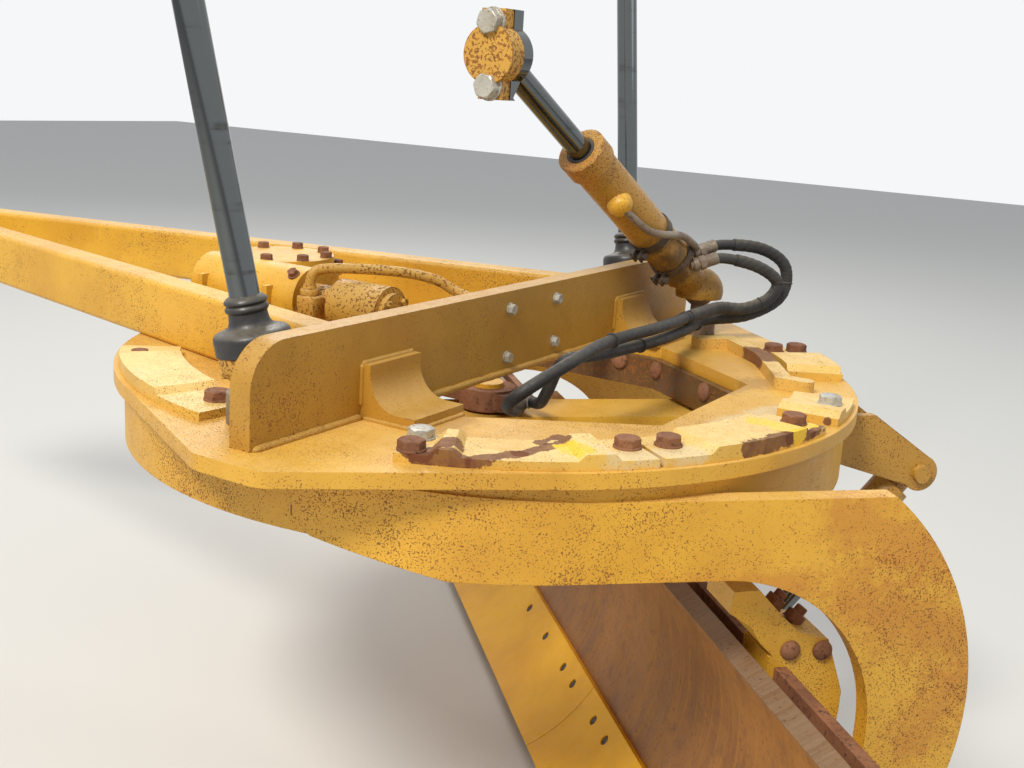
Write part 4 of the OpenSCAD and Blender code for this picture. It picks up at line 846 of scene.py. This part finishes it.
def makeShiftCylinder(s):
    ball, end = np.array(s["ball"]), np.array(s["end"])
    lean = leanTo(end - ball)
    way = lean[:, 2]

    def place(along, angle, out):
        t = math.radians(angle)
        return ball + lean @ np.array([out * math.cos(t), out * math.sin(t), along])

    def outward(along, angle):
        return unit(place(along, angle, 60) - place(along, angle, 0))

    fittings = Shell()
    tubeShape(fittings, roundedRoute([place(*p) for p in s["pipe"]], 3), s["pipeRadius"], 20)
    tip = s["neck"] - 0.4
    rows = [(0, 0), (0, 11), (tip - 16, 11), (tip - 16, 16), (tip - 13, 17), (tip - 4, 17), (tip - 2, 15),
            (tip, 14), (tip, 0)]
    for name in ("long", "short"):
        p, q = (np.array(x, float) for x in hoseSet[name][:2])
        turnShape(fittings, p - s["neck"] * unit(q - p), q - p, rows, 36)
    fittings.build("shift_oil_pipe", "steel", "shift_barrel", standsFor=["shift_pipes"])
    boss = Shell()
    along, angle = s["port"]
    foot, rise, radius = s["portDome"]
    t = np.linspace(0, np.pi / 2, 8)[1:-1]
    dome = [(foot + rise * math.sin(x), radius * math.cos(x)) for x in t] + [(foot + rise, 0)]
    turnShape(boss, place(along, 0, 0), outward(along, angle), s["portFoot"] + dome, 44)
    boss.build("shift_port_boss", "paint", "shift_barrel")

    # Six slots in the gland ring's rim
    def notched(along, radius, a):
        cut = (np.cos(6 * a)[None] > 0.9) & (along > s["barrelEnd"] - 15) & (radius > 48)
        return np.where(cut, radius - 4.0, radius)

    # Both end within the 2.8 mm that the closed cylinder leaves to the rod's end
    gland = Shell()
    e, b, r = s["barrelEnd"], s["barrel"], s["rod"]
    rows = [(e - 30, b + 0.3), (e - 30, b + 5), (e - 28, b + 6), (e - 15, b + 6), (e - 14.9, b + 5),
            (e + 0.6, b + 5), (e + 2.2, b + 3), (e + 2.2, r + 9), (e + 0.5, r + 8), (e + 0.5, r + 0.6),
            (e - 8, r + 0.6), (e - 8, b - 1)]
    turnShape(gland, ball, way, rows, 144, True, notched)
    # The gland ring takes the barrels' darkened yellow, painted shade
    gland.build("shift_gland", "barrel", "shift_barrel", 25)
    wiper = Shell()
    rows = [(e + 0.3, r + 0.5), (e + 0.3, r + 7.5), (e + 1.6, r + 6.5), (e + 2.4, r + 3), (e + 2.4, r + 0.5)]
    turnShape(wiper, ball, way, rows, 64, True)
    wiper.build("shift_wiper", "rubber", "shift_barrel")
    lugs = Shell()
    for along in s["bands"]:
        out = outward(along, s["lugAngle"])
        turn = np.cross(way, out)
        seat = place(along, s["lugAngle"], b + 15)
        for k in (-1, 1):
            middle = place(along, s["lugAngle"], b + 13) + 9 * k * turn
            blockShape(lugs, middle, (turn, way, out), s["lug"], 2.5)
        boltShape(lugs, seat + 12.5 * turn, turn, s["lugBolt"], 0.2)
        turnShape(lugs, seat - 24 * turn, turn, s["lugShank"], 20)
    lugs.build("shift_band_lugs", "grease", "shift_barrel")
    caps = Shell()
    for k, foot in enumerate(s["capBolts"]):
        boltShape(caps, foot, (0, 1, 0), boltSet["cap"], 0.3 + 0.4 * k)
    caps.build("shift_cap_bolts", "zinc", "shift_rod")


makeShiftCylinder(shiftSet)
print("shift cylinder made")

# Lift rods: chrome rod, black boot and socket, and the cup under the ball

liftSet = {
    "foot": (27.0, 706.0, 128.0),
    "way": (0.156, 0.116, 1.0),
    "rod": (60.0, 1350.0, 26.0),
    "cavity": 45.3,
    "socket": [(0, 66), (24, 66), (30, 65), (35, 61), (38, 52), (41, 43), (45, 37.5), (52, 34.5),
               (62, 33.2), (67, 33.2), (69, 35.5), (72, 37.2), (75, 37.2), (78, 35.2), (80, 33.4),
               (82, 35.2), (85, 37.2), (88, 36.6), (92, 33), (95, 28), (96, 26.5)],
    "cup": [(-0.6, 63.5), (-6, 64), (-20, 62.5), (-34, 58.5), (-41, 54), (-42, 51), (-42, 37), (-30, 34)],
    "cupBolt": {"across": 15, "height": 8, "washer": 8.5, "washerThick": 2},
    "boltRing": (56, 30),           # radius of the bolts' circle, and its distance below the ball
}


def makeLiftRod(name, side, s):
    foot = np.array(s["foot"]) * (1, side, 1)
    way = np.array(s["way"]) * (1, side, 1)
    low, high, r = s["rod"]
    body = "lift_rod_" + name
    rod = Shell()
    turnShape(rod, foot, way, [(low, 0), (low, r), (high - 3, r), (high, r - 3), (high, 0)], 64)
    rod.build("lift_chrome_" + name, "chrome", body, standsFor=[body])
    t = np.linspace(0, np.pi / 2, 10)
    arc = [(s["cavity"] * math.cos(x), s["cavity"] * math.sin(x)) for x in t]
    boot = Shell()
    turnShape(boot, foot, way, arc + s["socket"] + [(96, 0)], 64)
    boot.build("lift_boot_" + name, "blackPaint", body, 40)
    cup = Shell()
    back = [(-z, math.sqrt(s["cavity"] ** 2 - z * z)) for z in (24, 16, 8, 0.6)]
    turnShape(cup, foot, way, s["cup"] + back, 64, True)
    turn, out, up = squareTo(way)
    radius, below = s["boltRing"]
    for k in range(4):
        t = math.pi / 4 + k * math.pi / 2
        spot = foot + radius * (math.cos(t) * turn + math.sin(t) * out) - below * up
        boltShape(cup, spot, -up, s["cupBolt"], 0.2 * k)
    cup.build("lift_cup_" + name, "motor", body, 40)


makeLiftRod("left", 1, liftSet)
makeLiftRod("right", -1, liftSet)
print("lift rods made")

# Circle drive: bolts of the case, and the motor's fitting with its pipe to the wall

driveSet = {
    "centre": (515.4, 100.2),
    # Radius of the bolts' circle, their number, their height and the first one's turn
    "rings": [(104.0, 8, 178.0, 0.2), (129.0, 10, 152.0, 0.5)],
    "sideBolt": ((346, 251, 167), (0, 0.58, 0.81)),
    "block": ((286, 266, 112), (23, 20, 21)),
    "pipe": [(292, 262, 112), (292, 262, 174), (274, 246, 194), (96, 110, 190), (36, 64, 142),
             (-45.7, 64, 142)],
    "pipeRadius": 11.0,
    "neck": [(0, 0), (0, 19), (3, 20), (14, 20), (17, 18), (17, 15), (26, 13), (26, 0)],
}


def makeDrive(s):
    cx, cy = s["centre"]
    bolts = Shell()
    for radius, count, z, spin in s["rings"]:
        for k in range(count):
            t = 2 * math.pi * (k + 0.5) / count
            foot = (cx + radius * math.cos(t), cy + radius * math.sin(t), z)
            boltShape(bolts, foot, (0, 0, 1), boltSet["lid"], spin + k)
    boltShape(bolts, s["sideBolt"][0], s["sideBolt"][1], boltSet["wall"], 0.1)
    bolts.build("drive_bolts", "rust", "drawbar")
    fitting = Shell()
    centre, half = s["block"]
    blockShape(fitting, centre, ((1, 0, 0), (0, 1, 0), (0, 0, 1)), half, 5.0)
    start = np.array(s["pipe"][0], float)
    turnShape(fitting, start + (0, 0, 18), (0, 0, 1), s["neck"], 36)
    fitting.build("drive_fitting", "motor", "drawbar")
    pipe = Shell()
    tubeShape(pipe, roundedRoute(s["pipe"], 4), s["pipeRadius"], 24)
    pipe.build("drive_oil_pipe", "motor", "drawbar", 50)


makeDrive(driveSet)
print("drive made")

# Blade carrier: nuts on their studs and the domed heads beside them

carrierSet = {
    "domes": [(-432, 695, -374), (-496, 695, -377)],
    "nuts": [(-413, 640, -310), (-457, 640, -343)],
    "dome": (19.0, 12.0),
    "nutWay": (-0.6, 0.0, 0.8),
    "nut": {"across": 35.0, "height": 17.0, "washer": 20.0, "washerThick": 3.0, "stud": (11.5, 14.0)},
}


def makeCarrier(s):
    heads = Shell()
    for side in (-1, 1):
        for u, w, z in s["domes"]:
            domeShape(heads, fromBlade((u, side * w, z)), fromBlade((0, side, 0)), *s["dome"])
        for k, (u, w, z) in enumerate(s["nuts"]):
            boltShape(heads, fromBlade((u, side * w, z)), fromBlade(s["nutWay"]), s["nut"], 0.3 * k)
    heads.build("carrier_bolts", "rust", "blade_carrier")


makeCarrier(carrierSet)
print("carrier made")

# Flat heads of the bolts that hold the cutting edges, a little below the edges' face

edgeSet = {
    "middle": 33.0,
    "along": [88] + [176 * k for k in range(1, 10)],
    "hole": (-273.3, -832.3),
    "out": (0.786, 0.0, 0.618),
    # Distance from the edges' bolt face, and radius
    "head": [(-7.5, 0), (-7.5, 11.6), (4.2, 11.6), (5.2, 10.6), (5.6, 5), (5.2, 0)],
}


def makeEdgeBolts(s):
    heads = Shell()
    u, z = s["hole"]
    way = fromBlade(s["out"])
    for side in (-1, 1):
        for along in s["along"]:
            turnShape(heads, fromBlade((u, s["middle"] + side * along, z)), way, s["head"], 24)
    heads.build("edge_bolt_heads", "grease", "blade")


makeEdgeBolts(edgeSet)
print("edge bolts made")

# Floor, backdrop colour and lamps

lightSet = {
    "floor": -1.04,
    "floorSize": 40.0,
    "floorColour": linear(214, 212, 206),
    "sky": (0.86, 0.92, 1.0),
    "skyStrength": 0.5,
    "backdrop": (0.92, 0.93, 0.94, 1.0),
    "lamps": [
        ("keyLamp", (-2.6, 6.6, 7.0), (-2.2, 0.0, -0.2), 3.0, 900.0, (1.0, 0.97, 0.92)),
        ("sideLamp", (-7.0, -1.5, 4.0), (-2.2, 0.0, -0.3), 4.0, 45.0, (0.95, 0.97, 1.0)),
        ("backLamp", (2.5, -5.0, 5.5), (-2.2, 0.0, -0.2), 4.0, 240.0, (1.0, 0.98, 0.95)),
    ],
}


def makeLight(s):
    for name, place, goal, size, power, tint in s["lamps"]:
        data = bpy.data.lights.new(name, "AREA")
        data.shape = "DISK"
        data.size = size
        data.energy = power
        data.color = tint
        lamp = bpy.data.objects.new(name, data)
        bpy.context.scene.collection.objects.link(lamp)
        lamp.location = place
        lamp.rotation_euler = (Vector(goal) - Vector(place)).to_track_quat("-Z", "Y").to_euler()
    world = bpy.data.worlds.new("softSky")
    world.use_nodes = True
    bpy.context.scene.world = world
    tree = world.node_tree
    tree.nodes.clear()
    n = Nodes(tree)
    lit = n.add("ShaderNodeBackground")
    lit.inputs[0].default_value = s["sky"] + (1.0,)
    lit.inputs[1].default_value = s["skyStrength"]
    seen = n.add("ShaderNodeBackground")
    seen.inputs[0].default_value = s["backdrop"]
    seen.inputs[1].default_value = 1.0
    path = n.add("ShaderNodeLightPath")
    direct = n.math("MAXIMUM", path.outputs["Is Camera Ray"], path.outputs["Is Glossy Ray"])
    direct = n.math("MAXIMUM", direct, path.outputs["Is Transmission Ray"])
    both = n.add("ShaderNodeMixShader")
    tree.links.new(direct, both.inputs[0])
    tree.links.new(lit.outputs[0], both.inputs[1])
    tree.links.new(seen.outputs[0], both.inputs[2])
    out = n.add("ShaderNodeOutputWorld")
    tree.links.new(both.outputs[0], out.inputs[0])


def makeFloor(s):
    h = s["floorSize"] / 2
    mesh = bpy.data.meshes.new("floor")
    z = s["floor"]
    mesh.from_pydata([(-h, -h, z), (h, -h, z), (h, h, z), (-h, h, z)], [], [(0, 1, 2, 3)])
    floor = bpy.data.objects.new("floor", mesh)
    bpy.context.scene.collection.objects.link(floor)
    mat, _, shader, _ = newMaterial("floorPaint")
    shader.inputs["Base Color"].default_value = s["floorColour"]
    shader.inputs["Roughness"].default_value = 0.85
    mesh.materials.append(mat)


makeLight(lightSet)
makeFloor(lightSet)
print("stage made")

bpy.context.scene.view_settings.view_transform = "Standard"
